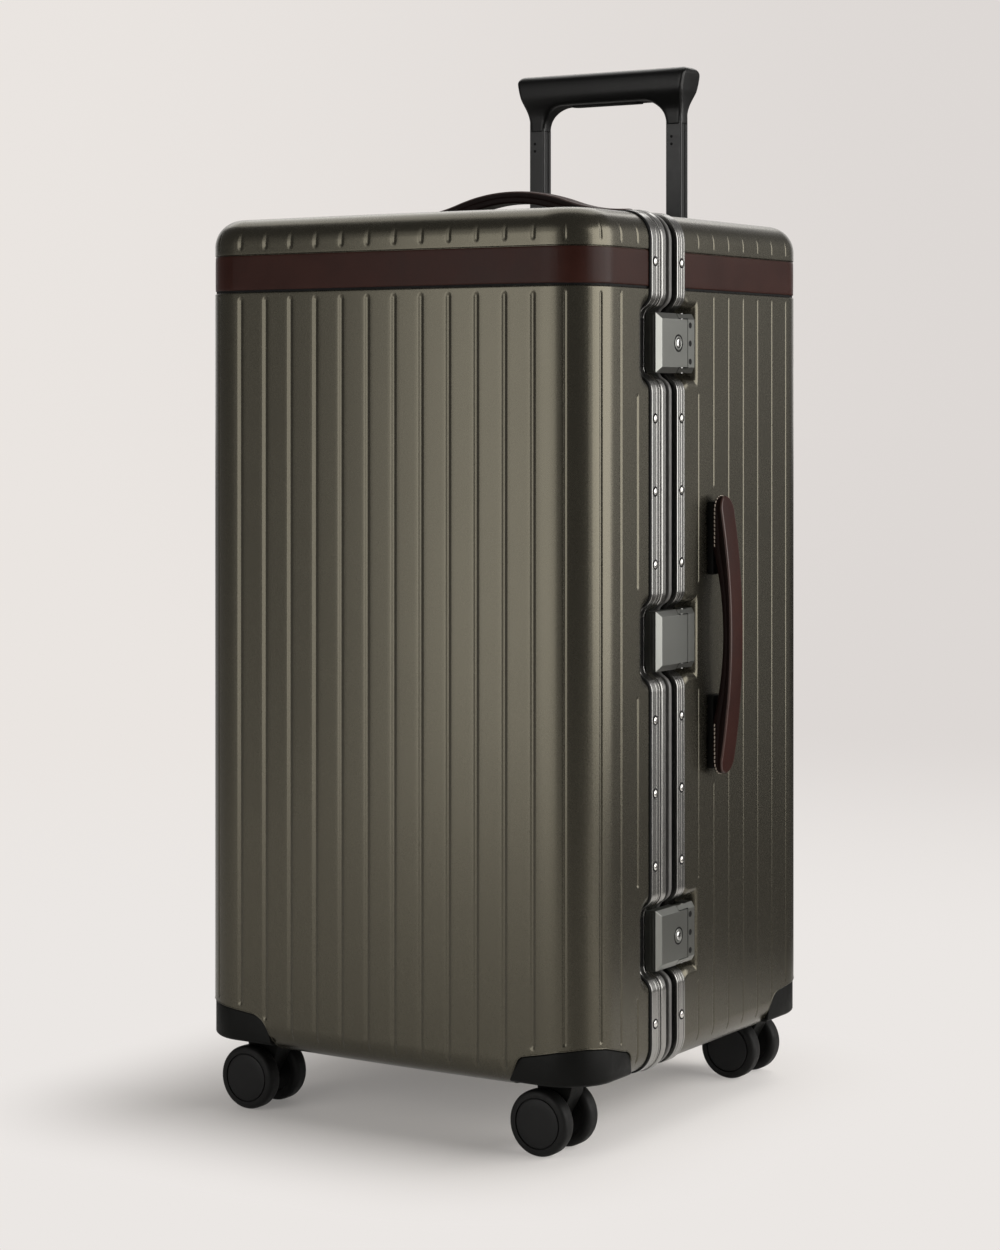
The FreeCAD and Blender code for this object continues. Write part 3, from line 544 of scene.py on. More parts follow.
def pockets(y, z):
    """how far the right side dips in round the latches: rounded hollows on both sides of the frame"""
    out = np.zeros_like(z)
    t_lid = np.clip((LID_FLANGE - 1.0 - y) / 18.5, 0, None)
    narrow = smooth((y - BASE_FLANGE) / 8.5)
    for zc in LATCH_Z:
        h = np.maximum(np.abs(z - zc) - DIP_FLAT / 2, 0)
        lid_r = np.sqrt((h / DIP_RUN) ** 2 + t_lid ** 2)
        lid = s_bend(DIP_RUN * (1 - lid_r))
        # rear part: a steep wall that turns into the side by a round of LIP, with round corners
        w = h / (DIP_RUN - 4.6 * narrow)
        floor = s_bend(DIP_RUN * (1 - np.clip(w, 0, 1)))
        run = np.sqrt(np.clip(y + 23.6, 0, None) ** 2 + (np.clip(w - 0.42, 0, None) * 9.0) ** 2)
        u = np.clip(run - (10.4 - LIP), 0, LIP)
        wall = np.where(run > 10.4, 0.0, LIP - np.sqrt(np.clip(LIP ** 2 - (LIP - u) ** 2, 0, None)) + np.clip(10.4 - LIP - run, 0, None) * 3.4)
        out = np.maximum(out, np.where(y < -62, lid, np.minimum(floor, wall)))
    return out


def smooth(t):
    t = np.clip(t, 0, 1)
    return t * t * (3 - 2 * t)


# ------------------------------------------------------------------ shells
Z_GROOVE_TOP = 709.6
SHORT_LO, SHORT_HI = 749.5, 769.5


def groove_foot(s):
    return max(70.5, Z_BOT + float(corner_rise(np.array([s]))[0]) + 4.6)


def groove_list(which):
    out = []
    if which == "lid":
        for k in range(10):
            for sg in (-1, 1):
                s = sg * np.interp(k, [5, 6, 7, 8, 9], [5.5 * PITCH_LID, 177.7, 209.4, 237.2, 264.2]) if k > 5 else sg * (k + 0.5) * PITCH_LID
                lo = groove_foot(s)
                spans = [(lo, Z_GROOVE_TOP)]
                if s > 255:
                    spans = [(463, 625), (216, 375), (lo, 125)]
                out.append((s, spans))
    else:
        mid = TOTAL / 2
        pitch = (mid - (S_RIGHT - 12.68)) / 14.5
        for k in range(15):
            for sg in (-1, 1):
                s = mid + sg * (k + 0.5) * pitch
                lo = groove_foot(s)
                spans = [(lo, Z_GROOVE_TOP)]
                y = s - S_RIGHT
                if sg < 0 and k == 14:
                    spans = [(463, 626), (210, 374), (lo, 123)]
                elif sg < 0 and k == 13:
                    spans = [(lo, 290.5), (545, Z_GROOVE_TOP)]
                out.append((s, spans))
    return out


def groove_size(s):
    """half width and depth of the groove at s"""
    if abs(s) < 170:
        return GROOVE_FLAT
    return GROOVE_BEND if abs(s) < 275 else GROOVE_BASE


def shell_rows():
    z = [Z_BOT]
    lo, hi = Z_BOT + R_EDGE, Z_TOP - R_EDGE
    z += [lo + R_EDGE * math.sin(math.radians(a)) for a in (-80, -70, -61, -53, -46)]
    z += list(np.arange(65.0, 106.0, 1.15))
    for zc in LATCH_Z:
        a = DIP_FLAT / 2 + DIP_RUN
        z += list(np.arange(zc - a - 2, zc - DIP_FLAT / 2 + 3, 1.15)) + [zc - 14, zc, zc + 14]
        z += list(np.arange(zc + DIP_FLAT / 2 - 3, zc + a + 2, 1.15))
    for e in (123, 125, 210, 216, 374, 375, 463, 625, 626, 290.5, 545):
        z += [e + o for o in (-5, -4, -3.2, -2.4, -1.6, -0.8, 0, 0.8, 1.6, 2.4, 3.2, 4, 5)]
    z += list(np.arange(702.5, 710.5, 0.9)) + [711.4, 712.3, 712.7, 713.1, 713.35, 716, 731, 744.0, 745.65, 745.9, 746.3, 746.7]
    z += list(np.arange(747.4, 772.4, 1.0))
    z += [hi + R_EDGE * math.sin(math.radians(a)) for a in (36, 44, 53, 62, 71, 80)]
    z += [Z_TOP]
    z = np.unique(np.round(np.array(z), 4))
    # rows inside the band's channel are only those named above
    named = np.array([712.3, 712.7, 713.1, 713.35, 716, 731, 744.0, 745.65, 745.9, 746.3])
    inside = (z > 711.8) & (z < 746.5)
    keep = ~inside | np.isin(z, named)
    z = z[keep]
    out = [z[0]]
    for v in z[1:]:
        if v - out[-1] > 0.5 or v in named or v == z[-1]:
            out.append(v)
    return np.array(out)


def shell_cols(s0, s1, grooves, extra):
    c = [s0, s1]
    for s, _ in grooves:
        c += [s + o for o in (-3.7, -3.05, -2.55, -2.05, -1.55, -1.0, -0.45, 0.45, 1.0, 1.55, 2.05, 2.55, 3.05, 3.7)]
    marks = sorted(g[0] for g in grooves)
    for a, b in zip(marks[:-1], marks[1:]):
        c += [a + (b - a) * q for q in (0.25, 0.4, 0.5, 0.6, 0.75)]
    c += list(extra)
    c = np.unique(np.round(np.array([v for v in c if s0 <= v <= s1]), 4))
    out = [c[0]]
    for v in c[1:]:
        if v - out[-1] > 0.3:
            out.append(v)
    out[-1] = s1
    return np.array(out)


def shell_offset(S, Z, grooves):
    """displacement of the skin along its normal"""
    n = np.zeros_like(S)
    for s, spans in grooves:
        gw, gd = groove_size(s)
        q = np.abs(S[0] - s) < gw * 1.02
        u = S[:, q] - s
        zz = Z[:, q]
        depth = np.zeros_like(u)
        for lo, hi in spans + [(SHORT_LO, SHORT_HI)]:
            short = lo == SHORT_LO
            top_run = 14.0 if short else gw
            over_t = np.maximum(0, (zz - (hi - top_run)) / top_run) * gw
            over_b = np.maximum(0, (lo + gw) - zz)
            r = np.sqrt(u * u + np.maximum(over_t, over_b) ** 2) / gw
            d = gd * (0.85 if short else 1.0)
            depth = np.maximum(depth, d * 0.5 * (1 + np.cos(PI * np.clip(r, 0, 1))))
        n[:, q] -= depth
    # channel of the leather band
    zz = Z
    w = np.interp(zz, [712.3, 712.7, 713.1, 713.35, 745.65, 745.9, 746.3, 746.7], [0, 0.12, 0.62, 1.6, 1.6, 0.62, 0.12, 0])
    n -= w
    # pockets round the latches
    on = (S > SEG_S[2]) & (S < SEG_S[3])
    n -= np.where(on, pockets(S - S_RIGHT, Z), 0.0)
    return n


def boolean(ob, cutters, op="DIFFERENCE"):
    for c in cutters:
        md = ob.modifiers.new("cut", "BOOLEAN")
        md.operation = op
        md.solver = "EXACT"
        md.object = c
    dg = bpy.context.evaluated_depsgraph_get()
    me = bpy.data.meshes.new_from_object(ob.evaluated_get(dg))
    ob.modifiers.clear()
    old = ob.data
    ob.data = me
    bpy.data.meshes.remove(old)
    for c in cutters:
        me = c.data
        bpy.data.objects.remove(c)
        bpy.data.meshes.remove(me)
    return ob


def scratch(parts, name="cutter"):
    bm = to_bm(parts)
    me = bpy.data.meshes.new(name)
    bm.to_mesh(me)
    bm.free()
    ob = bpy.data.objects.new(name, me)
    bpy.context.scene.collection.objects.link(ob)
    return ob


def prism(pts, a, b, plane):
    return loft([[plane(u, v, a) for u, v in pts], [plane(u, v, b) for u, v in pts]])


def corner_cutter(key):
    """room for a corner housing, a little larger than it"""
    sx, sy = CORNERS[key]
    blocks = []
    for line in EDGE_LINES.get(key, (LONG, LONG)):
        blocks.append([(-12.0, -14.0)] + [(u + (0.9 if u > 50 else 0.0), v + 0.9) for u, v in line] + [(line[-1][0] + 1.4, -14.0)])
    a = scratch(Parts().add(prism(blocks[0], -sy * 40, sy * 260, lambda u, v, w: (sx * (HALF - u), w, Z_BOT + v))))
    b = scratch(Parts().add(prism(blocks[1], -sx * 40, sx * 260, lambda u, v, w: (w, sy * (HALF - u), Z_BOT + v))))
    return boolean(a, [b], "INTERSECT")


def build_shell(name, s0, s1, grooves, extra, body, cut):
    rows = shell_rows()
    cols = shell_cols(s0, s1, grooves, extra)
    S, Z = np.meshgrid(cols, rows)
    off = shell_offset(S, Z, grooves)
    lift = crown(S)
    P = surface(S, Z, off + lift * section(Z)[1])
    R, C = S.shape
    verts = P.reshape(-1, 3).tolist()
    idx = np.arange(R * C).reshape(R, C)
    a, b, c, d = idx[:-1, :-1], idx[:-1, 1:], idx[1:, 1:], idx[1:, :-1]
    faces = np.stack([a, b, c, d], -1).reshape(-1, 4).tolist()
    # inner skin, same rows and fewer columns
    icols = np.unique(np.concatenate([[s0, s1], np.arange(s0, s1, 11.0)[1:-1]]))
    Si, Zi = np.meshgrid(icols, rows)
    y = Si - S_RIGHT
    on = (Si > SEG_S[2]) & (Si < SEG_S[3]) & (y > -122) & (y < -8)
    Pi = surface(Si, np.clip(Zi, Z_BOT, Z_TOP), -2.3 - np.where(on, dip(Zi), 0.0))
    Ci = len(icols)
    o = len(verts)
    verts += Pi.reshape(-1, 3).tolist()
    jdx = o + np.arange(R * Ci).reshape(R, Ci)
    a, b, c, d = jdx[:-1, :-1], jdx[:-1, 1:], jdx[1:, 1:], jdx[1:, :-1]
    faces += np.stack([a, d, c, b], -1).reshape(-1, 4).tolist()
    # rims up both ends
    for col, icol, flip in ((0, 0, False), (-1, -1, True)):
        for i in range(R - 1):
            q = [idx[i, col], idx[i + 1, col], jdx[i + 1, icol], jdx[i, icol]]
            faces.append(q[::-1] if flip else q)
    # top and bottom
    for row, up in ((R - 1, True), (0, False)):
        o_loop = [int(v) for v in idx[row]]
        i_loop = [int(v) for v in jdx[row]]
        faces.append(o_loop if up else o_loop[::-1])
        faces.append(i_loop[::-1] if up else i_loop)
        rim = [o_loop[0], o_loop[-1], i_loop[-1], i_loop[0]]
        faces.append(rim if up else rim[::-1])
    p = Parts()
    p.v, p.f, p.m = [tuple(v) for v in verts], [tuple(int(i) for i in f) for f in faces], [0] * len(faces)
    bm = to_bm(p)
    me = bpy.data.meshes.new(name)
    bm.to_mesh(me)
    bm.free()
    me.materials.append(MATS["shell_lacquer"])
    ob = bpy.data.objects.new(name, me)
    bpy.context.scene.collection.objects.link(ob)
    boolean(ob, cut)
    ob.data.shade_smooth()
    ob.data.set_sharp_from_angle(angle=math.radians(42))
    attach(ob, body)
    return ob


def arcs_cols():
    c = []
    for k in (1, 3, 5, 7):
        c += list(np.arange(SEG_S[k], SEG_S[k + 1] + 0.1, 3.2))
    return c


lid_grooves = groove_list("lid")
base_grooves = groove_list("base")
s_lid = S_RIGHT + LID_RIM
s_base0, s_base1 = S_RIGHT + BASE_RIM, S_LEFT - BASE_RIM
pocket_lid = list(S_RIGHT + np.arange(-119.0, LID_RIM, 1.3))
pocket_base = list(S_RIGHT + np.concatenate([np.arange(BASE_RIM, -25.5, 2.2), np.arange(-25.0, -12.6, 0.5)]))
arc_c = arcs_cols()
arc_lid = [c if c < TOTAL / 2 else c - TOTAL for c in arc_c]

lid = build_shell("lid_shell_skin", -s_lid, s_lid, lid_grooves, arc_lid + pocket_lid, "lid",
                  [corner_cutter("front_left"), corner_cutter("front_right")])
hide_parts("lid_shell")


def rounded(x0, x1, y0, y1, r, n=6):
    pts = []
    for cx, cy, a0 in ((x1 - r, y0 + r, -PI / 2), (x1 - r, y1 - r, 0), (x0 + r, y1 - r, PI / 2), (x0 + r, y0 + r, PI)):
        pts += [(cx + r * math.cos(a0 + PI / 2 * i / n), cy + r * math.sin(a0 + PI / 2 * i / n)) for i in range(n + 1)]
    return pts


cup_hole = scratch(Parts().add(prism(rounded(-111.2, 111.2, 154.8, 192.2, 8.2), 700, 800, lambda u, v, w: (u, v, w))))
base = build_shell("base_shell_skin", s_base0, s_base1, base_grooves, arc_c + pocket_base, "base",
                   [corner_cutter("rear_left"), corner_cutter("rear_right"), cup_hole])
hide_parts("base_shell")


# turned-in lip of the shell along each corner housing
def corner_lip(key, body):
    sx, sy = CORNERS[key]
    mid = {(1, -1): SEG_S[1] + ARC / 2, (1, 1): SEG_S[3] + ARC / 2, (-1, 1): SEG_S[5] + ARC / 2, (-1, -1): SEG_S[7] + ARC / 2}[(sx, sy)]
    r0, r1 = (ARC / 2 + (line[-1][0] - 3.2 - R_VERT) for line in EDGE_LINES.get(key, (LONG, LONG)))
    s = np.concatenate([np.linspace(mid - r0, mid - ARC / 2 - 14, 22), np.linspace(mid - ARC / 2 - 12, mid + ARC / 2 + 12, 36),
                        np.linspace(mid + ARC / 2 + 14, mid + r1, 22)])
    z = Z_BOT + np.maximum(corner_rise(s), 0.4) + 1.15
    rings = []
    c = surface(s, z, crown(s) * section(z)[1] - 0.25)
    nrm = surface(s, z, crown(s) + 1.0) - surface(s, z, crown(s))
    tan = np.gradient(c, axis=0)
    tan /= np.linalg.norm(tan, axis=1)[:, None]
    nrm -= tan * np.sum(nrm * tan, axis=1)[:, None]
    nrm /= np.linalg.norm(nrm, axis=1)[:, None]
    side = np.cross(nrm, tan)
    for i in range(len(s)):
        rings.append([tuple(c[i] + nrm[i] * (0.55 * math.cos(a)) + side[i] * (0.62 * math.sin(a)))
                      for a in np.linspace(0, 2 * PI, 10, endpoint=False)])
    ob = piece("shell_lip_" + key, Parts().add(loft(rings)), ["shell_lacquer"], body, sharp=60)
    return ob


for key, (sx, sy) in CORNERS.items():
    corner_lip(key, "lid" if sy < 0 else "base")


# ------------------------------------------------------------------ leather band
def band(name, s0, s1, node, body):
    s = np.unique(np.concatenate([[s0, s1], np.arange(s0, s1, 6.0), [v for v in arc_c + arc_lid if s0 < v < s1]]))
    prof = [(-1.55, 715.25), (-0.95, 715.25), (-0.62, 715.45), (-0.42, 716.0), (-0.33, 717.0), (-0.28, 720.0), (-0.24, 730.3),
            (-0.28, 740.4), (-0.33, 743.6), (-0.42, 744.6), (-0.62, 745.15), (-0.95, 745.35), (-1.55, 745.35)]
    # painted shadow: a black strip in the channel under the band's lower edge
    gap = [(-1.58, 713.40), (-1.15, 713.40), (-1.15, 715.30), (-1.58, 715.30)]
    p = Parts()
    for mat, pr in ((0, prof), (1, gap)):
        p.add(loft([[tuple(surface(v, z, n + float(crown(v)))) for n, z in pr] for v in s]), mat)
    return piece(name, p, ["band_leather", "shadow_black"], body, (node,), sharp=50)


band("lid_leather_band", -(S_RIGHT - 97.2), S_RIGHT - 97.2, "lid_band", "lid")
band("base_leather_band", S_RIGHT - 40.4, S_LEFT + 40.4, "base_band", "base")


# ------------------------------------------------------------------ frame loops
def frame_loop():
    """x, z and normal round the frame, dipping at the latches"""
    a, r = HALF, R_EDGE
    pts = []

    def arc(cx, cz, rad, a0, a1, n, inward=False):
        for i in range(n + 1):
            t = a0 + (a1 - a0) * i / n
            nx, nz = math.cos(t), math.sin(t)
            g = -1 if inward else 1
            pts.append((cx + rad * nx, cz + rad * nz, g * nx, g * nz))

    arc(a - r, Z_BOT + r, r, -PI / 2, 0, 12)
    for zc in LATCH_Z:
        z1 = zc - DIP_FLAT / 2 - DIP_RUN
        z2 = zc + DIP_FLAT / 2
        arc(a - DIP_R, z1, DIP_R, 0, DIP_A, 7)
        arc(a - DIP + DIP_R, z1 + DIP_RUN, DIP_R, PI + DIP_A, PI, 7, True)
        arc(a - DIP + DIP_R, z2, DIP_R, PI, PI - DIP_A, 7, True)
        arc(a - DIP_R, z2 + DIP_RUN, DIP_R, -DIP_A, 0, 7)
    arc(a - r, Z_TOP - r, r, 0, PI / 2, 12)
    arc(-a + r, Z_TOP - r, r, PI / 2, PI, 12)
    arc(-a + r, Z_BOT + r, r, PI, 1.5 * PI, 12)
    out = [pts[0]]
    for p in pts[1:]:
        if math.hypot(p[0] - out[-1][0], p[1] - out[-1][1]) > 0.05:
            out.append(p)
    # long straights get a few stations so that their shading stays even
    full = []
    for i, p in enumerate(out):
        q = out[(i + 1) % len(out)]
        full.append(p)
        length = math.hypot(p[0] - q[0], p[1] - q[1])
        k = int(length // 40)
        for j in range(1, k + 1):
            t = j / (k + 1)
            full.append((p[0] + (q[0] - p[0]) * t, p[1] + (q[1] - p[1]) * t, p[2], p[3]))
    return full


LOOP = frame_loop()


def ring(profile):
    return loft([[(x + nx * d, y, z + nz * d) for y, d in profile] for x, z, nx, nz in LOOP], closed=True)


LID_PROFILE = [(-95.5, 0.0), (-95.5, 1.05), (-95.38, 1.38), (-95.1, 1.58), (-94.8, 1.62), (-88.6, 1.62), (-88.4, 1.56), (-88.2, 1.42), (-87.9, 1.42),
               (-87.7, 1.56), (-87.5, 1.62), (-84.5, 1.62), (-84.2, 1.55), (-84.05, 1.3), (-84.0, 0.5), (-83.45, 0.5), (-83.4, 1.3), (-83.25, 1.66),
               (-83.0, 1.80), (-82.3, 1.80), (-82.05, 1.66), (-81.9, 1.3), (-81.85, 0.4), (-81.15, 0.4), (-81.1, 1.7), (-80.95, 2.25), (-80.6, 2.58),
               (-80.1, 2.74), (-79.3, 2.78), (-75.0, 2.78), (-74.1, 2.72), (-73.5, 2.5), (-73.1, 2.1), (-72.9, 1.5), (-72.85, -1.2), (-71.45, -1.2),
               (-71.45, -9.0), (-76.1, -9.0), (-76.1, -4.2), (-94.0, -4.2), (-94.0, -2.45), (-76.15, -2.45), (-76.15, 0.0)]
BASE_PROFILE = [(-69.8, -7.0), (-69.8, -4.0), (-52.4, -4.0), (-52.4, 0.95), (-52.25, 1.35), (-51.9, 1.58), (-51.5, 1.62), (-50.6, 1.62),
                (-50.35, 1.5), (-50.25, 1.2), (-50.2, 0.7), (-49.55, 0.7), (-49.5, 1.2), (-49.35, 1.5), (-49.1, 1.62), (-46.2, 1.62), (-46.0, 1.56),
                (-45.8, 1.42), (-45.5, 1.42), (-45.3, 1.56), (-45.1, 1.62), (-42.4, 1.62), (-42.15, 1.5), (-42.05, 1.1), (-41.5, 1.1), (-41.4, 1.5),
                (-41.15, 1.62), (-39.8, 1.62), (-39.35, 1.55), (-39.02, 1.3), (-38.9, 0.95), (-38.9, 0.0), (-49.15, 0.0), (-49.15, -2.45),
                (-42.0, -2.45), (-42.0, -4.2), (-49.3, -4.2), (-49.3, -7.0)]
SEAL_PROFILE = [(-69.3, -3.9), (-69.3, -3.1), (-64.8, -3.1), (-64.8, -0.9), (-64.65, -0.2), (-64.3, 0.3), (-63.7, 0.6), (-62.9, 0.72), (-61.6, 0.72),
                (-60.8, 0.6), (-60.2, 0.3), (-59.85, -0.2), (-59.7, -0.9), (-59.7, -3.1), (-52.6, -3.1), (-52.6, -3.9)]
# painted shade: a black strip in the joint between the lid shell and its frame, standing for the shadow line there
SHADE_STRIP_PROFILE = [(-98.2, -0.3), (-98.2, 0.5), (-98.0, 0.85), (-97.3, 1.1), (-96.4, 1.45), (-95.9, 1.52), (-95.53, 1.5), (-95.53, -0.3)]

lid_frame = piece("lid_frame_ring", Parts().add(ring(LID_PROFILE)), ["frame_aluminium"], "lid", ("lid_frame",), sharp=28)
notches = [scratch(Parts().add(box(HALF - 15.4, HALF + 6, -75.6, -68, zc - 9, zc + 9))) for zc in LATCH_Z]
boolean(lid_frame, notches)
lid_frame.data.shade_smooth()
lid_frame.data.set_sharp_from_angle(angle=math.radians(28))
weigh(lid_frame)
weigh(piece("base_frame_ring", Parts().add(ring(BASE_PROFILE)), ["frame_aluminium"], "base", ("base_frame",), sharp=28))
piece("lid_frame_gasket", Parts().add(ring(SHADE_STRIP_PROFILE)), ["shadow_black"], "lid", sharp=50)
# painted shade: black sheets over the lid frame's edge where it dips into each latch pocket, hiding its lit edge there
pocket_shade = Parts()
for zc in LATCH_Z:
    path = [q for q in LOOP if q[0] > HALF - 30 and q[2] > 0.99 and abs(q[1] - zc) < DIP_FLAT / 2 + 1.0]
    path.sort(key=lambda q: q[1])
    pocket_shade.add(loft([[(x + nx * d, y, z + nz * d) for y, d in ((-97.6, 0.9), (-97.3, 1.5), (-95.4, 1.86), (-94.6, 1.92), (-88.4, 1.92), (-88.1, 1.7), (-88.1, 1.2), (-97.6, 0.4))]
                    for x, z, nx, nz in path]))
piece("latch_pocket_liners", pocket_shade, ["shadow_black"], "lid", sharp=50)
# the bead is rubber; the recess floor either side of it and the underside take shadow_black, painted shade in the
# recess
seal = Parts().add(ring(SEAL_PROFILE), 1)
seal.m = [0 if all(seal.v[i][1] > -64.85 and seal.v[i][1] < -59.65 for i in f) else 1 for f in seal.f]
piece("frame_seal_bead", seal, ["seal_rubber", "shadow_black"], "base", ("frame_seal",), sharp=50)


def rivets(name, y, body, node):
    p = Parts()
    head = [(2.95, 0.0), (3.05, 0.28), (2.95, 0.48), (2.65, 0.70), (2.1, 0.92), (1.3, 1.08), (0.5, 1.15), (0.0, 1.16)]
    # painted shadow: a black ring round each head for the gap round the rivet
    ring_ = [(4.35, -0.1), (4.35, 0.06), (4.2, 0.1), (2.9, 0.1), (2.9, -0.1)]
    a = HALF + 1.62

    def put(c, n):
        p.add(lathe(ring_, c, n, 28), 1)
        p.add(lathe(head, c, n, 28), 0)

    for dz in (-318.3, -187, -126, -65, 65, 126, 187, 318.3):
        put((a, y, Z_MID + dz), (1, 0, 0))
        put((-a, y, Z_MID + dz), (-1, 0, 0))
    for x in (-140, -48, 48, 140):
        put((x, y, Z_TOP + 1.62), (0, 0, 1))
        put((x, y, Z_BOT - 1.62), (0, 0, -1))
    return piece(name, p, ["rivet_aluminium", "shadow_black"], body, (node,), sharp=50)


rivets("lid_frame_rivet_heads", -90.0, "lid", "lid_frame_rivets")
rivets("base_frame_rivet_heads", -45.0, "base", "base_frame_rivets")

# ------------------------------------------------------------------ latches
A = HALF


def latch(name, zc, with_key):
    """one plate: a wide part with three chamfered edges and a narrow neck that turns on the pin"""
    o, i = 2.5, -8.2
    y0, y1, y2 = -86.0, -80.2, -51.0
    h, k, foot = 25.4, 20.4, -0.6
    neck = [(-36.2, 2.5), (-35.5, 1.3), (-35.05, -0.4), (-34.9, -2.0), (-35.2, -3.9), (-36.4, -5.7), (-38.2, -7.0), (-40.6, -7.7), (-43.0, i)]
    p = Parts()
    v = []

    def at(y, n, z):
        v.append((A + n, y, zc + z))
        return len(v) - 1

    a = [at(y1, o, -k), at(y2, o, -k), at(y2, o, k), at(y1, o, k)]
    b = [at(y0, foot, -h), at(y2, foot, -h), at(y2, foot, h), at(y0, foot, h)]
    c = [at(y0, i, -h), at(y2, i, -h), at(y2, i, h), at(y0, i, h)]
    d = [at(y2, i, -k), at(y2, i, k)]
    lo = [at(y, n, -k) for y, n in neck]
    hi = [at(y, n, k) for y, n in neck]
    f = [(a[0], a[1], a[2], a[3]), (a[1], lo[0], hi[0], a[2]), (a[0], a[3], b[3], b[0]), (a[0], b[0], b[1], a[1]), (a[3], a[2], b[2], b[3]),
         (b[0], b[3], c[3], c[0]), (b[0], c[0], c[1], b[1]), (b[3], b[2], c[2], c[3]), (a[1], b[1], c[1], d[0]), (a[2], d[1], c[2], b[2]),
         tuple([a[1], d[0]] + lo[::-1]), tuple([d[1], a[2]] + hi), (c[0], c[3], c[2], d[1], d[0], c[1]), (d[0], d[1], hi[-1], lo[-1])]
    f += [(lo[q], lo[q + 1], hi[q + 1], hi[q]) for q in range(len(neck) - 1)]
    p.add((v, f))
    # the free end, the lower sides and the underside take the painted-shade copy
    p.m = [1 if q in (5, 6, 7, 12, 13) else 0 for q in range(len(f))]
    bm = to_bm(p)
    bmesh.ops.dissolve_limit(bm, angle_limit=math.radians(0.5), use_dissolve_boundaries=False, verts=bm.verts, edges=bm.edges)
    round_edges(bm, 0.32, 2, 24)
    q = Parts()
    q.add(box(A - 14.0, A + i + 0.4, -74.8, -72.4, zc - 8.0, zc + 8.0))
    # skirt in front, down to the frame, and two shallow ribs on it
    skirt = [(0.0, i + 0.3), (0.0, -10.55), (3.6, -10.55), (3.6, i + 0.3)]
    short = [(0.0, i + 0.3), (0.0, -9.3), (3.6, -9.3), (3.6, i + 0.3)]
    q.add(loft([[(A + n, y0 + u, zc + z) for u, n in pr] for z, pr in ((-25.0, short), (-20.0, skirt), (20.0, skirt), (25.0, short))]))
    for n0 in (-6.6, -3.6):
        q.add(prism([(n0, 0.0), (n0 + 0.25, -0.4), (n0 + 0.95, -0.4), (n0 + 1.2, 0.0)], -23.6, 23.6, lambda u, w, z: (A + u, y0 + w, zc + z)))
    # the pin block, skirt and ribs take the painted-shade copy too
    q.m = [1] * len(q.f)
    extra = to_bm(q)
    me = bpy.data.meshes.new("tmp")
    extra.to_mesh(me)
    extra.free()
    bm.from_mesh(me)
    bpy.data.meshes.remove(me)
    ob = weigh(finish_mesh(bm, "latch_plate_" + name, ["latch_satin", "latch_body"], "latch_" + name, ("latch_lever_" + name,), 24))
    if with_key:
        x, ky = A + o, -52.0
        # painted shade: a black ring round the key cylinder for the recessed gap round it
        r = Parts().add(lathe([(7.5, -0.4), (7.5, 0.06), (7.35, 0.1), (6.1, 0.1), (6.02, 0.0), (6.02, -0.4)], (x, ky, zc), (1, 0, 0), 48))
        piece("latch_key_rim_" + name, r, ["shadow_black"], "latch_" + name, sharp=40)
        c = Parts()
        c.add(lathe([(4.2, -6.0), (5.95, -6.0), (5.95, 0.16), (5.75, 0.30), (4.5, 0.30), (4.3, 0.18), (4.2, -0.4)], (x, ky, zc), (1, 0, 0), 48), 2)
        # painted shade: the ring between cylinder and core, the keyway bar and the centre are shadow_black, standing
        # for the key's clearance and keyway
        c.add(lathe([(4.25, -0.5), (4.25, 0.0), (3.6, 0.0), (3.6, -0.5)], (x, ky, zc), (1, 0, 0), 48), 1)
        c.add(lathe([(3.7, -0.5), (3.7, 0.30), (3.4, 0.55), (0.0, 0.55)], (x, ky, zc), (1, 0, 0), 48), 0)
        c.add(box(x + 0.3, x + 0.60, ky - 0.62, ky + 0.62, zc - 2.6, zc + 2.6), 1)
        c.add(lathe([(1.25, 0.2), (1.25, 0.61), (0.0, 0.61)], (x, ky, zc), (1, 0, 0), 24), 1)
        piece("key_face_" + name, c, ["steel_satin", "shadow_black", "latch_satin"], "key_" + name, ("key_cylinder_" + name,), sharp=40)
    return ob


for nm, zc in zip(LATCH_N, LATCH_Z):
    latch(nm, zc, nm != "middle")

# fixed strip of each latch with the two arms that carry its pin
strip_set = None
for nm, zc in zip(LATCH_N, LATCH_Z):
    q = Parts()
    full = [(-35.25, 2.5), (-24.2, 2.5), (-23.4, 1.7), (-23.4, -10.9), (-33.9, -10.9), (-33.9, -0.8), (-34.65, 1.0), (-35.15, 1.85)]
    end = [(-33.97, -0.5), (-24.2, -0.5), (-23.4, -0.7), (-23.4, -10.9), (-33.9, -10.9), (-33.9, -0.8), (-33.93, -0.7), (-33.95, -0.6)]
    q.add(loft([[(A + n, y, zc + z) for y, n in pr] for z, pr in ((-25.2, end), (-20.4, full), (20.4, full), (25.2, end))]))
    for s in (-1, 1):
        inn = [(-50.3, 2.0), (-34.6, 2.0), (-33.2, -0.6), (-33.2, -5.6), (-50.3, -5.6)]
        out = [(-50.3, -0.35), (-34.0, -0.35), (-33.2, -0.6), (-33.2, -5.6), (-50.3, -5.6)]
        q.add(loft([[(A + n, y, zc + s * z) for y, n in pr] for z, pr in ((21.15, inn), (24.9, out))]))
    bm = to_bm(q)
    round_edges(bm, 0.22, 2, 24)
    if strip_set is None:
        strip_set = bm
    else:
        me = bpy.data.meshes.new("tmp")
        bm.to_mesh(me)
        bm.free()
        strip_set.from_mesh(me)
        bpy.data.meshes.remove(me)
weigh(finish_mesh(strip_set, "latch_bracket_set", ["latch_satin"], "base", ("latch_brackets",), 24))

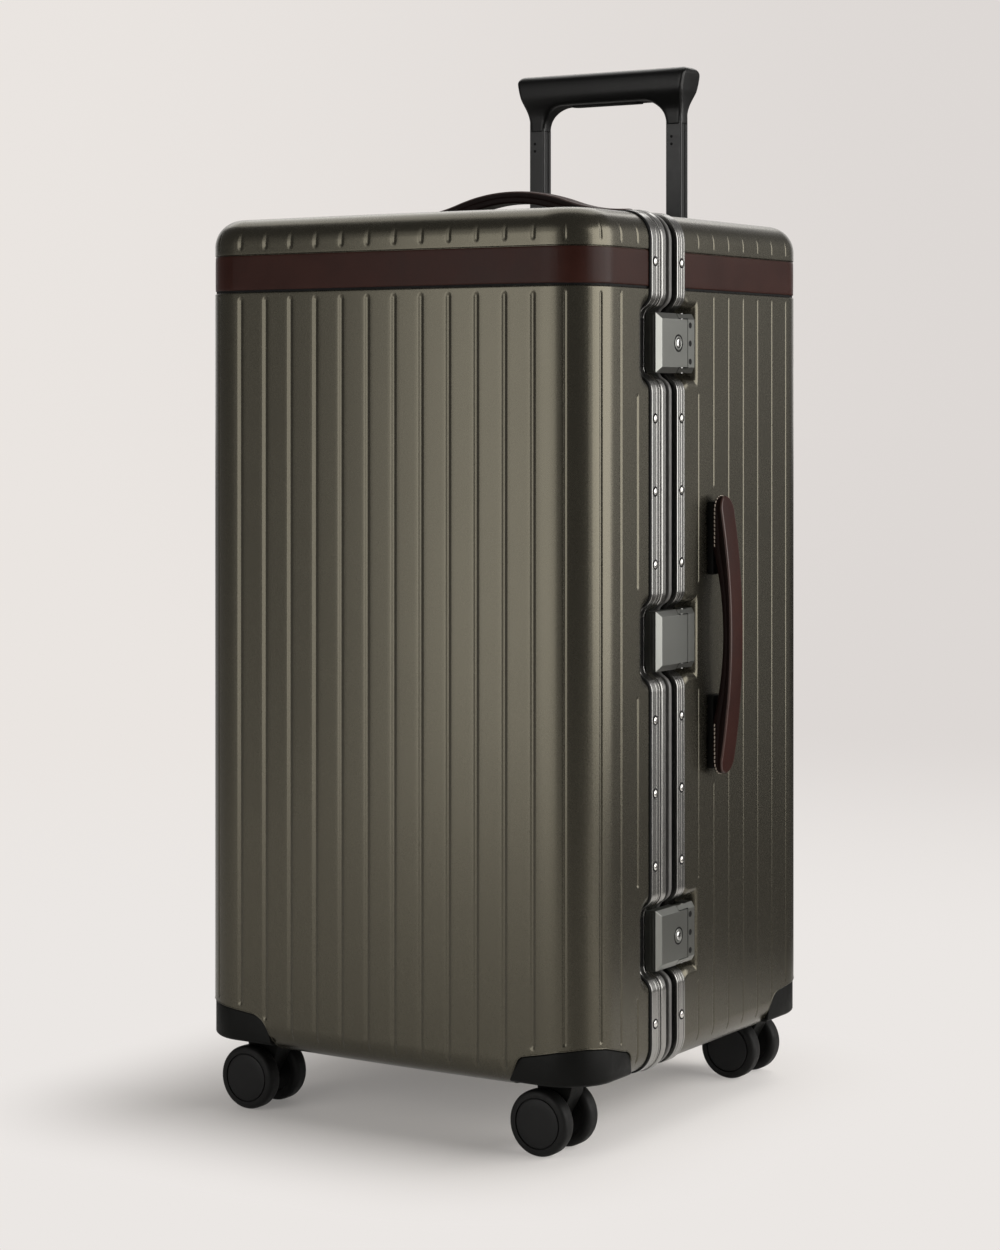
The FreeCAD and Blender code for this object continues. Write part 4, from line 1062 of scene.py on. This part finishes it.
dots = Parts()
for nm, zc in zip(LATCH_N, LATCH_Z):
    if nm == "middle":
        continue
    for dz in (-15.4, 0.0, 15.4):
        c = (A + 2.5, -31.6, zc + dz)
        dots.add(lathe([(2.6, -0.3), (2.6, 0.06), (2.45, 0.12), (1.4, 0.12), (1.2, 0.02), (0.0, 0.02)], c, (1, 0, 0), 28))
piece("latch_screw_heads", dots, ["shadow_black"], "base", ("latch_screws",), sharp=40)


# ------------------------------------------------------------------ leather handles
def bow(a, lo, hi, run):
    """height of an arch of two arcs that meets its feet level, at a from its middle"""
    r = (run ** 2 + (hi - lo) ** 2) / (4 * (hi - lo))
    if a >= run:
        return lo
    if a >= run / 2:
        return lo + r - math.sqrt(r * r - (run - a) ** 2)
    return hi - (r - math.sqrt(r * r - a * a))


def strap(name, plane, across, outer, inner, body, node):
    """strap in the plane u along, v out of the face; across is its width direction"""
    half, solid, hw = 119.6, 76.0, 11.6
    tip = 13.0
    us = np.concatenate([half - tip * (1 - np.cos(np.linspace(0, PI / 2, 14))) * 1.0, np.linspace(half - tip - 2, solid + 2, 10),
                         np.linspace(solid, 0, 36)])
    us = np.unique(np.round(np.concatenate([us, -us]), 4))
    rings, mids = [], []

    def prof(u):
        a = abs(u)
        # tip in plan and a little fall at the very end
        w = hw if a < half - tip else hw - tip * 0.86 + tip * 0.86 * math.sqrt(max(0.0, 1 - ((a - half + tip) / tip) ** 2))
        fall = 0.0 if a < half - 3 else 0.8 * ((a - half + 3) / 3) ** 2
        # waisted slightly where the strap is free
        w *= 1.0 - 0.045 * smooth(np.array((76.0 - a) / 30.0))
        return outer(a) - fall, inner(a), float(w)

    def at(u, v, w):
        return tuple(Vector(plane(u, v)) + Vector(across) * w)

    for u in us:
        o, i, w = prof(u)
        rc = min(1.5, 0.4 * (o - i), 0.8 * w)
        ri = min(1.6, 0.3 * (o - i), 0.5 * w)
        mid = 0.5 * (o + i)
        pts = []
        # outer face with a slight crown
        for k in np.linspace(-1, 1, 7):
            pts.append(((w - rc) * k, o + 0.45 * (1 - k * k)))
        for t in np.linspace(0, PI / 2, 6)[1:]:
            pts.append((w - rc + rc * math.sin(t), o - rc + rc * math.cos(t)))
        pts += [(w, mid + 0.7), (w - 0.12, mid + 0.38), (w - 0.38, mid), (w - 0.12, mid - 0.38), (w, mid - 0.7)]
        for t in np.linspace(0, PI / 2, 4):
            pts.append((w - ri + ri * math.cos(t), i + ri - ri * math.sin(t)))
        for k in np.linspace(1, -1, 5)[1:-1]:
            pts.append(((w - ri) * k, i))
        for t in np.linspace(PI / 2, 0, 4):
            pts.append((-w + ri - ri * math.cos(t), i + ri - ri * math.sin(t)))
        pts += [(-w, mid - 0.7), (-w + 0.12, mid - 0.38), (-w + 0.38, mid), (-w + 0.12, mid + 0.38), (-w, mid + 0.7)]
        for t in np.linspace(PI / 2, 0, 6)[:-1]:
            pts.append((-w + rc - rc * math.sin(t), o - rc + rc * math.cos(t)))
        rings.append([at(u, b, a) for a, b in pts])
    whole = Parts().add(loft(rings))
    n = len(rings[0])
    # 7 points over the outer face, 5 round each outer edge, then the sides and the inner face
    # outer face in handle leather, outer edge rounds in the painted-highlight copy, sides and inner face in the
    # painted-shade copy
    kind = [0] * 6 + [2] * 5 + [1] * (n - 6 - 5 - 5) + [2] * 5
    whole.m = [kind[j] for _ in range(len(rings) - 1) for j in range(n)] + [1, 1]
    ob = piece(name, whole, ["handle_leather", "edge_leather", "bead_leather"], body, (node,), sharp=60)

    # saddle stitches round both padded ends
    st = Parts()
    for sgn in (-1, 1):
        path = []
        for sd in (-1, 1):
            line = []
            for a in np.concatenate([np.linspace(solid - 1, half - tip, 40), half - tip + tip * np.sin(np.linspace(0, PI / 2, 60))]):
                o, i, w = prof(a)
                line.append((a, i + 2.1, sd * w))
            path.append(line)
        full = path[0] + path[1][::-1]
        P = np.array([at(sgn * a, b, c) for a, b, c in full])
        keep = [0]
        for q in range(1, len(P)):
            if np.linalg.norm(P[q] - P[keep[-1]]) > 1e-4:
                keep.append(q)
        P = P[keep]
        L = np.concatenate([[0], np.cumsum(np.linalg.norm(np.diff(P, axis=0), axis=1))])
        centre = np.array(at(sgn * 90.0, 0.0, 0.0))
        up = np.array(at(0, 1, 0)) - np.array(at(0, 0, 0))
        x = 1.0
        while x < L[-1] - 3.0:
            ends = [np.array([np.interp(x + d, L, P[:, k]) for k in range(3)]) for d in (0.0, 1.3, 2.6)]
            tng = ends[2] - ends[0]
            tng /= np.linalg.norm(tng)
            side = np.cross(tng, up)
            side /= np.linalg.norm(side)
            if np.dot(side, ends[1] - centre) < 0:
                side = -side
            rr = []
            for t in np.linspace(-1, 1, 7):
                c = ends[1] + tng * (1.42 * t) + side * (0.32 * (1 - t * t) - 0.08) - up * (0.18 * t)
                r = 0.50 * math.sqrt(max(0.02, 1 - t ** 4))
                rr.append([tuple(c + side * (r * math.cos(g)) + up * (r * math.sin(g))) for g in np.linspace(0, 2 * PI, 8, endpoint=False)])
            st.add(loft(rr))
            x += 3.45
    piece(name + "_stitches", st, ["thread"], body, sharp=60)
    return ob


HANDLE_Y = 13.0
strap("top_carry_strap", lambda u, v: (u, HANDLE_Y, Z_TOP + v), (0, 1, 0),
      lambda a: bow(a, 10.2, 29.7, 116.0), lambda a: bow(a, 6.0, 19.0, 84.0), "base", "top_handle_strap")
strap("side_carry_strap", lambda u, v: (HALF + v, HANDLE_Y, Z_MID + u), (0, 1, 0),
      lambda a: 24.0 - 10.5 * (a / 118.0) ** 2, lambda a: max(6.0, 15.5 - 9.5 * (a / 74.0) ** 2), "base", "side_handle_strap")
refined("top_handle_feet", "top_handle_mounts", ["black_moulding"], 1.2, 3)
refined("side_handle_feet", "side_handle_mounts", ["black_moulding"], 1.2, 3)

# ------------------------------------------------------------------ pull handle
refined("pull_cup", "trolley_cup", ["black_moulding"], 0.5, 2)


def grip():
    """moulded grip: legs that flare into a broad bar, all edges well rounded"""
    def line(a, b, n):
        return [(a[0] + (b[0] - a[0]) * i / n, a[1] + (b[1] - a[1]) * i / n) for i in range(1, n + 1)]

    out = arc_points((-83.7, 878.0), (-84.7, 893.5), (-88.4, 908.0), 12) + line((-88.4, 908.0), (-91.6, 924.2), 8)
    out += arc_points((-91.6, 924.2), (-90.2, 928.6), (-86.0, 930.2), 10)[1:] + line((-86.0, 930.2), (-44.0, 930.2), 10) + line((-44.0, 930.2), (0.0, 930.2), 6)
    inn = arc_points((-66.3, 878.0), (-60.0, 893.8), (-44.0, 900.4), 40) + line((-44.0, 900.4), (0.0, 900.4), 6)
    out, inn = np.array(out), np.array(inn)
    # same number of stations on both lines
    so, si = (np.concatenate([[0], np.cumsum(np.linalg.norm(np.diff(q, axis=0), axis=1))]) for q in (out, inn))
    n = 60
    tt = np.linspace(0, 1, n)
    po = np.stack([np.interp(tt, np.linspace(0, 1, len(out)), out[:, k]) for k in (0, 1)], 1)
    pi_ = np.stack([np.interp(tt, np.linspace(0, 1, len(inn)), inn[:, k]) for k in (0, 1)], 1)
    po = np.concatenate([po, (po * [-1, 1])[::-1][1:]])
    pi_ = np.concatenate([pi_, (pi_ * [-1, 1])[::-1][1:]])
    rings = []
    # half depth by height: legs drawn out into the deep bar, its top rounded over
    FZ = np.array([878, 888, 892, 895, 898, 901, 905, 909, 912, 915, 918, 921, 924, 926.5, 928.5, 930.2])
    FD = np.array([7.3, 7.8, 8.6, 9.7, 11.1, 12.8, 14.9, 16.6, 17.2, 17.5, 17.6, 17.5, 17.0, 15.9, 14.2, 11.6])
    for a, b in zip(po, pi_):
        w = np.linalg.norm(b - a)
        d = (b - a) / w
        sec = []
        for cu, cv, r, a0 in ((0, 1, 4.4, 0), (0, -1, 4.4, 1), (1, -1, 3.6, 2), (1, 1, 3.6, 3)):
            for q in range(7):
                g = PI / 2 * q / 6
                # corner centre at depth r from the outer (0) or inner (1) line
                along = r if cu == 0 else w - r
                ang = {0: PI / 2 + g, 1: PI + g, 2: 1.5 * PI + g, 3: g}[a0]
                sec.append((along + r * math.cos(ang), cv, r, r * math.sin(ang)))
            if a0 in (1, 3):
                sec += [(4.4 + (w - 8.0) * (q if a0 == 1 else 1 - q), cv, r, cv * r) for q in np.linspace(0, 1, 12)[1:-1]]
        ring_ = []
        for along, cv, r, dy in sec:
            x, z = a + d * along
            hd = float(np.interp(z, FZ, FD))
            ring_.append((float(x), 173.0 + cv * (hd - r) + dy, float(z)))
        rings.append(ring_)
    # small inset where each leg ends
    ends = []
    for rg, dz in ((rings[0], -0.0), (rings[-1], -0.0)):
        c = np.mean(np.array(rg), axis=0)
        ends.append([tuple(c + (np.array(q) - c) * 0.94 + np.array([0, 0, -0.6])) for q in rg])
    ob = piece("pull_grip_moulding", Parts().add(loft([ends[0]] + rings + [ends[1]])), ["grip_moulding"], "trolley", ("trolley_grip",), sharp=50)
    hole = scratch(Parts().add(prism(rounded(-38.3, 38.3, 166.7, 179.3, 6.0), 890.0, 911.0, lambda u, w, z: (u, w, z))))
    boolean(ob, [hole])
    ob.data.shade_smooth()
    ob.data.set_sharp_from_angle(angle=math.radians(50))


grip()
for n, mt in (("release_button", "black_moulding"), ("trolley_inner_tubes", "tube_anodised"),
              ("trolley_outer_tubes", "tube_anodised"), ("trolley_screws", "shadow_black"), ("trolley_foot", "black_moulding"),
              ("hinge_pins", "steel_satin"), ("latch_pins", "steel_satin"), ("latch_strikes", "steel_satin")):
    me = frame["nodes"][n].data
    me.materials.clear()
    me.materials.append(MATS[mt])
weigh(refined("hinge_leaves_lid", "hinge_lid_leaves", ["steel_satin"], 0.4, 2))
weigh(refined("hinge_leaves_base", "hinge_base_leaves", ["steel_satin"], 0.4, 2))

# ------------------------------------------------------------------ corners and casters
for key, (sx, sy) in CORNERS.items():
    refined("corner_housing_" + key, "corner_" + key, ["black_moulding"], 0.7, 2)
    refined("fork_" + key, "caster_%s_fork" % key, ["black_moulding"], 0.7, 2)
    me = frame["nodes"]["caster_%s_axle" % key].data
    me.materials.clear()
    me.materials.append(MATS["steel_satin"])
    cx, cy = sx * SWIVEL_X, SWIVEL_Y[sy]
    ax = cx - TRAIL
    for side, s in (("front", -1), ("back", 1)):
        w = Parts()
        # h runs from the inner face (0) to the outer face (15)
        tyre = [(7.0, 0.0), (7.0, 2.2), (18.5, 2.2), (19.2, 0.6), (20.5, 0.0), (23.5, 0.0), (25.4, 0.45), (26.8, 1.7), (27.4, 3.4), (27.5, 5.0), (27.5, 10.0),
                (27.4, 11.6), (26.8, 13.3), (25.4, 14.5), (23.6, 14.95), (21.4, 15.0), (21.15, 14.8), (21.1, 13.4), (7.0, 13.4)]
        cap = [(3.2, 12.0), (20.3, 12.0), (20.3, 14.35), (20.05, 14.7), (19.6, 14.85), (12.0, 14.95), (0.0, 15.0)]
        hub = [(3.2, 0.3), (6.4, 0.3), (6.9, 0.8), (6.9, 12.5), (3.2, 12.5)]
        c = (ax, cy + s * 12.0, 27.5)
        w.add(lathe(tyre, c, (0, s, 0), 72), 0)
        w.add(lathe(cap, c, (0, s, 0), 72), 1)
        w.add(lathe(hub, c, (0, s, 0), 36), 1)
        piece("wheel_%s_%s_moulding" % (key, side), w, ["wheel_rubber", "wheel_cap"], "wheel_%s_%s" % (key, side),
              ("caster_%s_wheel_%s" % (key, side),), sharp=38)


# ------------------------------------------------------------------ linings
def tray(name, x0, x1, z0, z1, y_rim, y_floor, rx, rz, rc, body, node):
    """open tray of cloth; rx and rz round its floor edges, rc its corners"""
    t = 1.5
    sg = 1.0 if y_floor > y_rim else -1.0

    def loop(y, ix, iz, rr):
        return [(u, y, v) for u, v in rounded(x0 + ix, x1 - ix, z0 + iz, z1 - iz, rr, 6)]

    rings = []
    deep = max(rx, rz)
    ys = [y_rim, y_floor - sg * deep]
    rings.append(loop(y_rim, 0, 0, rc))
    for a in np.linspace(0, PI / 2, 9):
        y = y_floor - sg * deep * (1 - math.sin(a))
        k = 1 - math.cos(a)
        fx = rx * k
        fz = rz * k
        rings.append(loop(y, fx, fz, max(2.0, rc - 0.4 * rc * k)))
    inner = []
    for a in np.linspace(PI / 2, 0, 9):
        y = y_floor - sg * t - sg * (deep - t) * (1 - math.sin(a))
        k = 1 - math.cos(a)
        inner.append(loop(y, t + (rx - t) * k, t + (rz - t) * k, max(1.2, rc - t - 0.4 * rc * k)))
    inner.append(loop(y_rim, t, t, rc - t))
    p = Parts()
    n = len(rings[0])
    v, f = loft(rings, cap=False)
    f.append(tuple((len(rings) - 1) * n + j for j in range(n)))
    p.add((v, f))
    o = len(p.v)
    v, f = loft(inner, cap=False)
    f.append(tuple(range(n)))
    p.add((v, f))
    last = o + (len(inner) - 1) * n
    for j in range(n):
        l = (j + 1) % n
        p.f.append((j, l, last + l, last + j))
        p.m.append(0)
    return piece(name, p, ["lining_weave"], body, (node,), sharp=50)


tray("lid_cloth_lining", -190.0, 181.5, 72.0, 768.0, LID_RIM - 0.8, -190.0, 30.0, 12.0, 12.0, "lid", "lid_lining")
tray("base_cloth_lining", -190.0, 181.5, 72.0, 768.0, BASE_RIM + 0.8, 148.0, 14.0, 12.0, 12.0, "base", "base_lining")

# ------------------------------------------------------------------ studio
scene = bpy.context.scene
scene.view_settings.view_transform = "Standard"


def floor_material():
    m = bpy.data.materials.new("studio_floor")
    m.use_nodes = True
    nt = m.node_tree
    nt.nodes.clear()
    out = nt.nodes.new("ShaderNodeOutputMaterial")
    dif = nt.nodes.new("ShaderNodeBsdfDiffuse")
    dif.inputs["Color"].default_value = (0.90, 0.875, 0.85, 1)
    emi = nt.nodes.new("ShaderNodeEmission")
    emi.inputs["Strength"].default_value = 1.0
    tc = nt.nodes.new("ShaderNodeTexCoord")
    ln = nt.nodes.new("ShaderNodeVectorMath")
    ln.operation = "LENGTH"
    nt.links.new(tc.outputs["Object"], ln.inputs[0])
    # same left to right fall of the backdrop's tone, by direction over the floor
    unit = nt.nodes.new("ShaderNodeVectorMath")
    unit.operation = "NORMALIZE"
    nt.links.new(tc.outputs["Object"], unit.inputs[0])
    dot = nt.nodes.new("ShaderNodeVectorMath")
    dot.operation = "DOT_PRODUCT"
    nt.links.new(unit.outputs[0], dot.inputs[0])
    dot.inputs[1].default_value = (0.8416, 0.5401, 0.0)
    side = nt.nodes.new("ShaderNodeMapRange")
    side.interpolation_type = "SMOOTHSTEP"
    side.inputs["From Min"].default_value = -0.19
    side.inputs["From Max"].default_value = 0.19
    nt.links.new(dot.outputs["Value"], side.inputs["Value"])
    far = nt.nodes.new("ShaderNodeMapRange")
    far.interpolation_type = "SMOOTHSTEP"
    far.inputs["From Min"].default_value = 0.7
    far.inputs["From Max"].default_value = 3.0
    nt.links.new(ln.outputs["Value"], far.inputs["Value"])
    back = nt.nodes.new("ShaderNodeMix")
    back.data_type = "RGBA"
    nt.links.new(side.outputs[0], back.inputs[0])
    back.inputs[6].default_value = BACK_L
    back.inputs[7].default_value = BACK_R
    near = nt.nodes.new("ShaderNodeMix")
    near.data_type = "RGBA"
    nt.links.new(far.outputs[0], near.inputs[0])
    near.inputs[6].default_value = FLOOR
    nt.links.new(back.outputs[2], near.inputs[7])
    nt.links.new(near.outputs[2], emi.inputs["Color"])
    # distance from the middle of the patch that the case shades
    last = tc.outputs["Object"]
    for op, vec in (("ADD", (0.06, 0.02, 0.0)), ("ABSOLUTE", None), ("SUBTRACT", (0.14, 0.16, 0.0)), ("MAXIMUM", (0.0, 0.0, 0.0))):
        n = nt.nodes.new("ShaderNodeVectorMath")
        n.operation = op
        nt.links.new(last, n.inputs[0])
        if vec:
            n.inputs[1].default_value = vec
        last = n.outputs[0]
    off = nt.nodes.new("ShaderNodeVectorMath")
    off.operation = "LENGTH"
    nt.links.new(last, off.inputs[0])
    mr = nt.nodes.new("ShaderNodeMapRange")
    mr.interpolation_type = "SMOOTHSTEP"
    mr.inputs["From Min"].default_value = -0.03
    mr.inputs["From Max"].default_value = 0.23
    mr.inputs["To Min"].default_value = 0.15
    mr.inputs["To Max"].default_value = 1.0
    nt.links.new(off.outputs["Value"], mr.inputs["Value"])
    mix = nt.nodes.new("ShaderNodeMixShader")
    nt.links.new(mr.outputs[0], mix.inputs[0])
    nt.links.new(dif.outputs[0], mix.inputs[1])
    nt.links.new(emi.outputs[0], mix.inputs[2])
    # what the object mirrors of the floor: pale in front, flagged dark behind it on the right
    rear = nt.nodes.new("ShaderNodeVectorMath")
    rear.operation = "DOT_PRODUCT"
    nt.links.new(tc.outputs["Object"], rear.inputs[0])
    rear.inputs[1].default_value = (0.5, 0.866, 0.0)
    dark = nt.nodes.new("ShaderNodeMapRange")
    dark.interpolation_type = "SMOOTHSTEP"
    dark.inputs["From Min"].default_value = 0.42
    dark.inputs["From Max"].default_value = 0.85
    nt.links.new(rear.outputs["Value"], dark.inputs["Value"])
    # and in the gap between the two soft boxes, straight out from the near corner
    last = tc.outputs["Object"]
    for op, vec in (("SUBTRACT", (0.20, -0.17, 0.0)), ("NORMALIZE", None), ("DOT_PRODUCT", (0.777, -0.629, 0.0))):
        n = nt.nodes.new("ShaderNodeVectorMath")
        n.operation = op
        nt.links.new(last, n.inputs[0])
        if vec:
            n.inputs[1].default_value = vec
        last = n.outputs["Value"] if op == "DOT_PRODUCT" else n.outputs[0]
    gap = nt.nodes.new("ShaderNodeMapRange")
    gap.interpolation_type = "SMOOTHSTEP"
    gap.inputs["From Min"].default_value = 0.87
    gap.inputs["From Max"].default_value = 0.97
    gap.inputs["To Max"].default_value = 0.6
    nt.links.new(last, gap.inputs["Value"])
    flag = nt.nodes.new("ShaderNodeMath")
    flag.operation = "MAXIMUM"
    nt.links.new(dark.outputs[0], flag.inputs[0])
    nt.links.new(gap.outputs[0], flag.inputs[1])
    tone = nt.nodes.new("ShaderNodeMix")
    tone.data_type = "RGBA"
    nt.links.new(flag.outputs[0], tone.inputs[0])
    tone.inputs[6].default_value = (0.90, 0.875, 0.85, 1)
    tone.inputs[7].default_value = (0.12, 0.115, 0.11, 1)
    low = nt.nodes.new("ShaderNodeBsdfDiffuse")
    nt.links.new(tone.outputs[2], low.inputs["Color"])
    gain = nt.nodes.new("ShaderNodeMapRange")
    gain.inputs["To Min"].default_value = 0.13
    gain.inputs["To Max"].default_value = 0.0
    nt.links.new(flag.outputs[0], gain.inputs["Value"])
    fill = nt.nodes.new("ShaderNodeEmission")
    nt.links.new(gain.outputs[0], fill.inputs["Strength"])
    sheen = nt.nodes.new("ShaderNodeAddShader")
    nt.links.new(low.outputs[0], sheen.inputs[0])
    nt.links.new(fill.outputs[0], sheen.inputs[1])
    lp = nt.nodes.new("ShaderNodeLightPath")
    both = nt.nodes.new("ShaderNodeMixShader")
    nt.links.new(lp.outputs["Is Camera Ray"], both.inputs[0])
    nt.links.new(sheen.outputs[0], both.inputs[1])
    nt.links.new(mix.outputs[0], both.inputs[2])
    nt.links.new(both.outputs[0], out.inputs[0])
    return m


FLOOR = srgb(235, 231, 228)
BACK = srgb(228, 223, 219)
BACK_L, BACK_R = srgb(234, 229, 225), srgb(221, 216, 213)
me = bpy.data.meshes.new("studio_floor")
me.from_pydata([(-40, -40, 0), (40, -40, 0), (40, 40, 0), (-40, 40, 0)], [], [(0, 1, 2, 3)])
me.materials.append(floor_material())
floor = bpy.data.objects.new("studio_floor", me)
scene.collection.objects.link(floor)

world = bpy.data.worlds.new("studio")
scene.world = world
world.use_nodes = True
nt = world.node_tree
nt.nodes.clear()
wo = nt.nodes.new("ShaderNodeOutputWorld")
seen = nt.nodes.new("ShaderNodeBackground")
seen.inputs["Color"].default_value = BACK
seen.inputs["Strength"].default_value = 1.0
lit = nt.nodes.new("ShaderNodeBackground")
lit.inputs["Color"].default_value = (1.0, 0.975, 0.95, 1)
tc = nt.nodes.new("ShaderNodeTexCoord")


def towards(azimuth, elevation):
    a, e = math.radians(azimuth), math.radians(elevation)
    n = nt.nodes.new("ShaderNodeVectorMath")
    n.operation = "DOT_PRODUCT"
    nt.links.new(tc.outputs["Generated"], n.inputs[0])
    n.inputs[1].default_value = (math.sin(a) * math.cos(e), -math.cos(a) * math.cos(e), math.sin(e))
    return n.outputs["Value"]


def step(value, lo, hi, a, b):
    n = nt.nodes.new("ShaderNodeMapRange")
    n.interpolation_type = "SMOOTHSTEP"
    for k, v in (("From Min", lo), ("From Max", hi), ("To Min", a), ("To Max", b)):
        n.inputs[k].default_value = v
    nt.links.new(value, n.inputs["Value"])
    return n.outputs[0]


# the bright wall of the studio stands behind and to the right
glow = nt.nodes.new("ShaderNodeMath")
glow.operation = "ADD"
nt.links.new(step(towards(128.0, 12.0), 0.60, 1.0, 0.14, 0.25), glow.inputs[0])
# the pale backdrop behind the object, which its upper edges mirror
nt.links.new(step(towards(212.0, 6.0), 0.72, 0.95, 0.0, 0.95), glow.inputs[1])
nt.links.new(glow.outputs[0], lit.inputs["Strength"])
tone = nt.nodes.new("ShaderNodeMix")
tone.data_type = "RGBA"
nt.links.new(step(towards(122.69, 0.0), -0.19, 0.19, 0.0, 1.0), tone.inputs[0])
tone.inputs[6].default_value = BACK_L
tone.inputs[7].default_value = BACK_R
nt.links.new(tone.outputs[2], seen.inputs["Color"])
lp = nt.nodes.new("ShaderNodeLightPath")
mx = nt.nodes.new("ShaderNodeMixShader")
nt.links.new(lp.outputs["Is Camera Ray"], mx.inputs[0])
nt.links.new(lit.outputs[0], mx.inputs[1])
nt.links.new(seen.outputs[0], mx.inputs[2])
nt.links.new(mx.outputs[0], wo.inputs[0])


def area(name, azimuth, distance, height, w, h, power, aim=(0, 0, 0.42), color=(1, 0.98, 0.95)):
    """soft box; azimuth from -Y towards +X"""
    d = bpy.data.lights.new(name, "AREA")
    d.shape = "RECTANGLE"
    d.size, d.size_y = w, h
    d.energy = power
    d.color = color
    ob = bpy.data.objects.new(name, d)
    a = math.radians(azimuth)
    ob.location = (math.sin(a) * distance, -math.cos(a) * distance, height)
    ob.rotation_euler = (Vector(aim) - ob.location).to_track_quat("-Z", "Y").to_euler()
    scene.collection.objects.link(ob)
    return ob


area("key", -11.3, 2.3, 0.64, 1.7, 1.3, 16.6, aim=(0, 0, 0.45))
area("key_upper", -12.0, 2.2, 1.55, 1.9, 0.8, 4.2, aim=(0, 0, 0.6))
area("right", 107.9, 1.96, 0.88, 2.12, 1.6, 43, aim=(0, 0, 0.45))
area("right_tail", 145.0, 2.0, 0.80, 0.95, 1.6, 0.82, aim=(0, 0, 0.45))
area("overhead", 147.0, 1.15, 2.7, 1.3, 1.1, 19, aim=(0, 0, 0.3)).visible_glossy = False
# sheet above and behind, seen only as a gleam along the upper edges
area("back_upper", 219.0, 1.4, 2.6, 2.7, 2.2, 29, aim=(0, 0, 0.77)).visible_diffuse = False

cam = bpy.data.cameras.new("camera")
cam.sensor_width = 36.0
cam.lens = 83.69
cam.shift_x = 0.0
cam.shift_y = -0.1805
cam.clip_start, cam.clip_end = 0.05, 200
co = bpy.data.objects.new("camera", cam)
co.location = (1.4024 + X_OFF * MM, -2.2013, 0.6207)
co.rotation_euler = (math.radians(90), 0, math.radians(32.69))
scene.collection.objects.link(co)
scene.camera = co

bpy.context.view_layer.update()
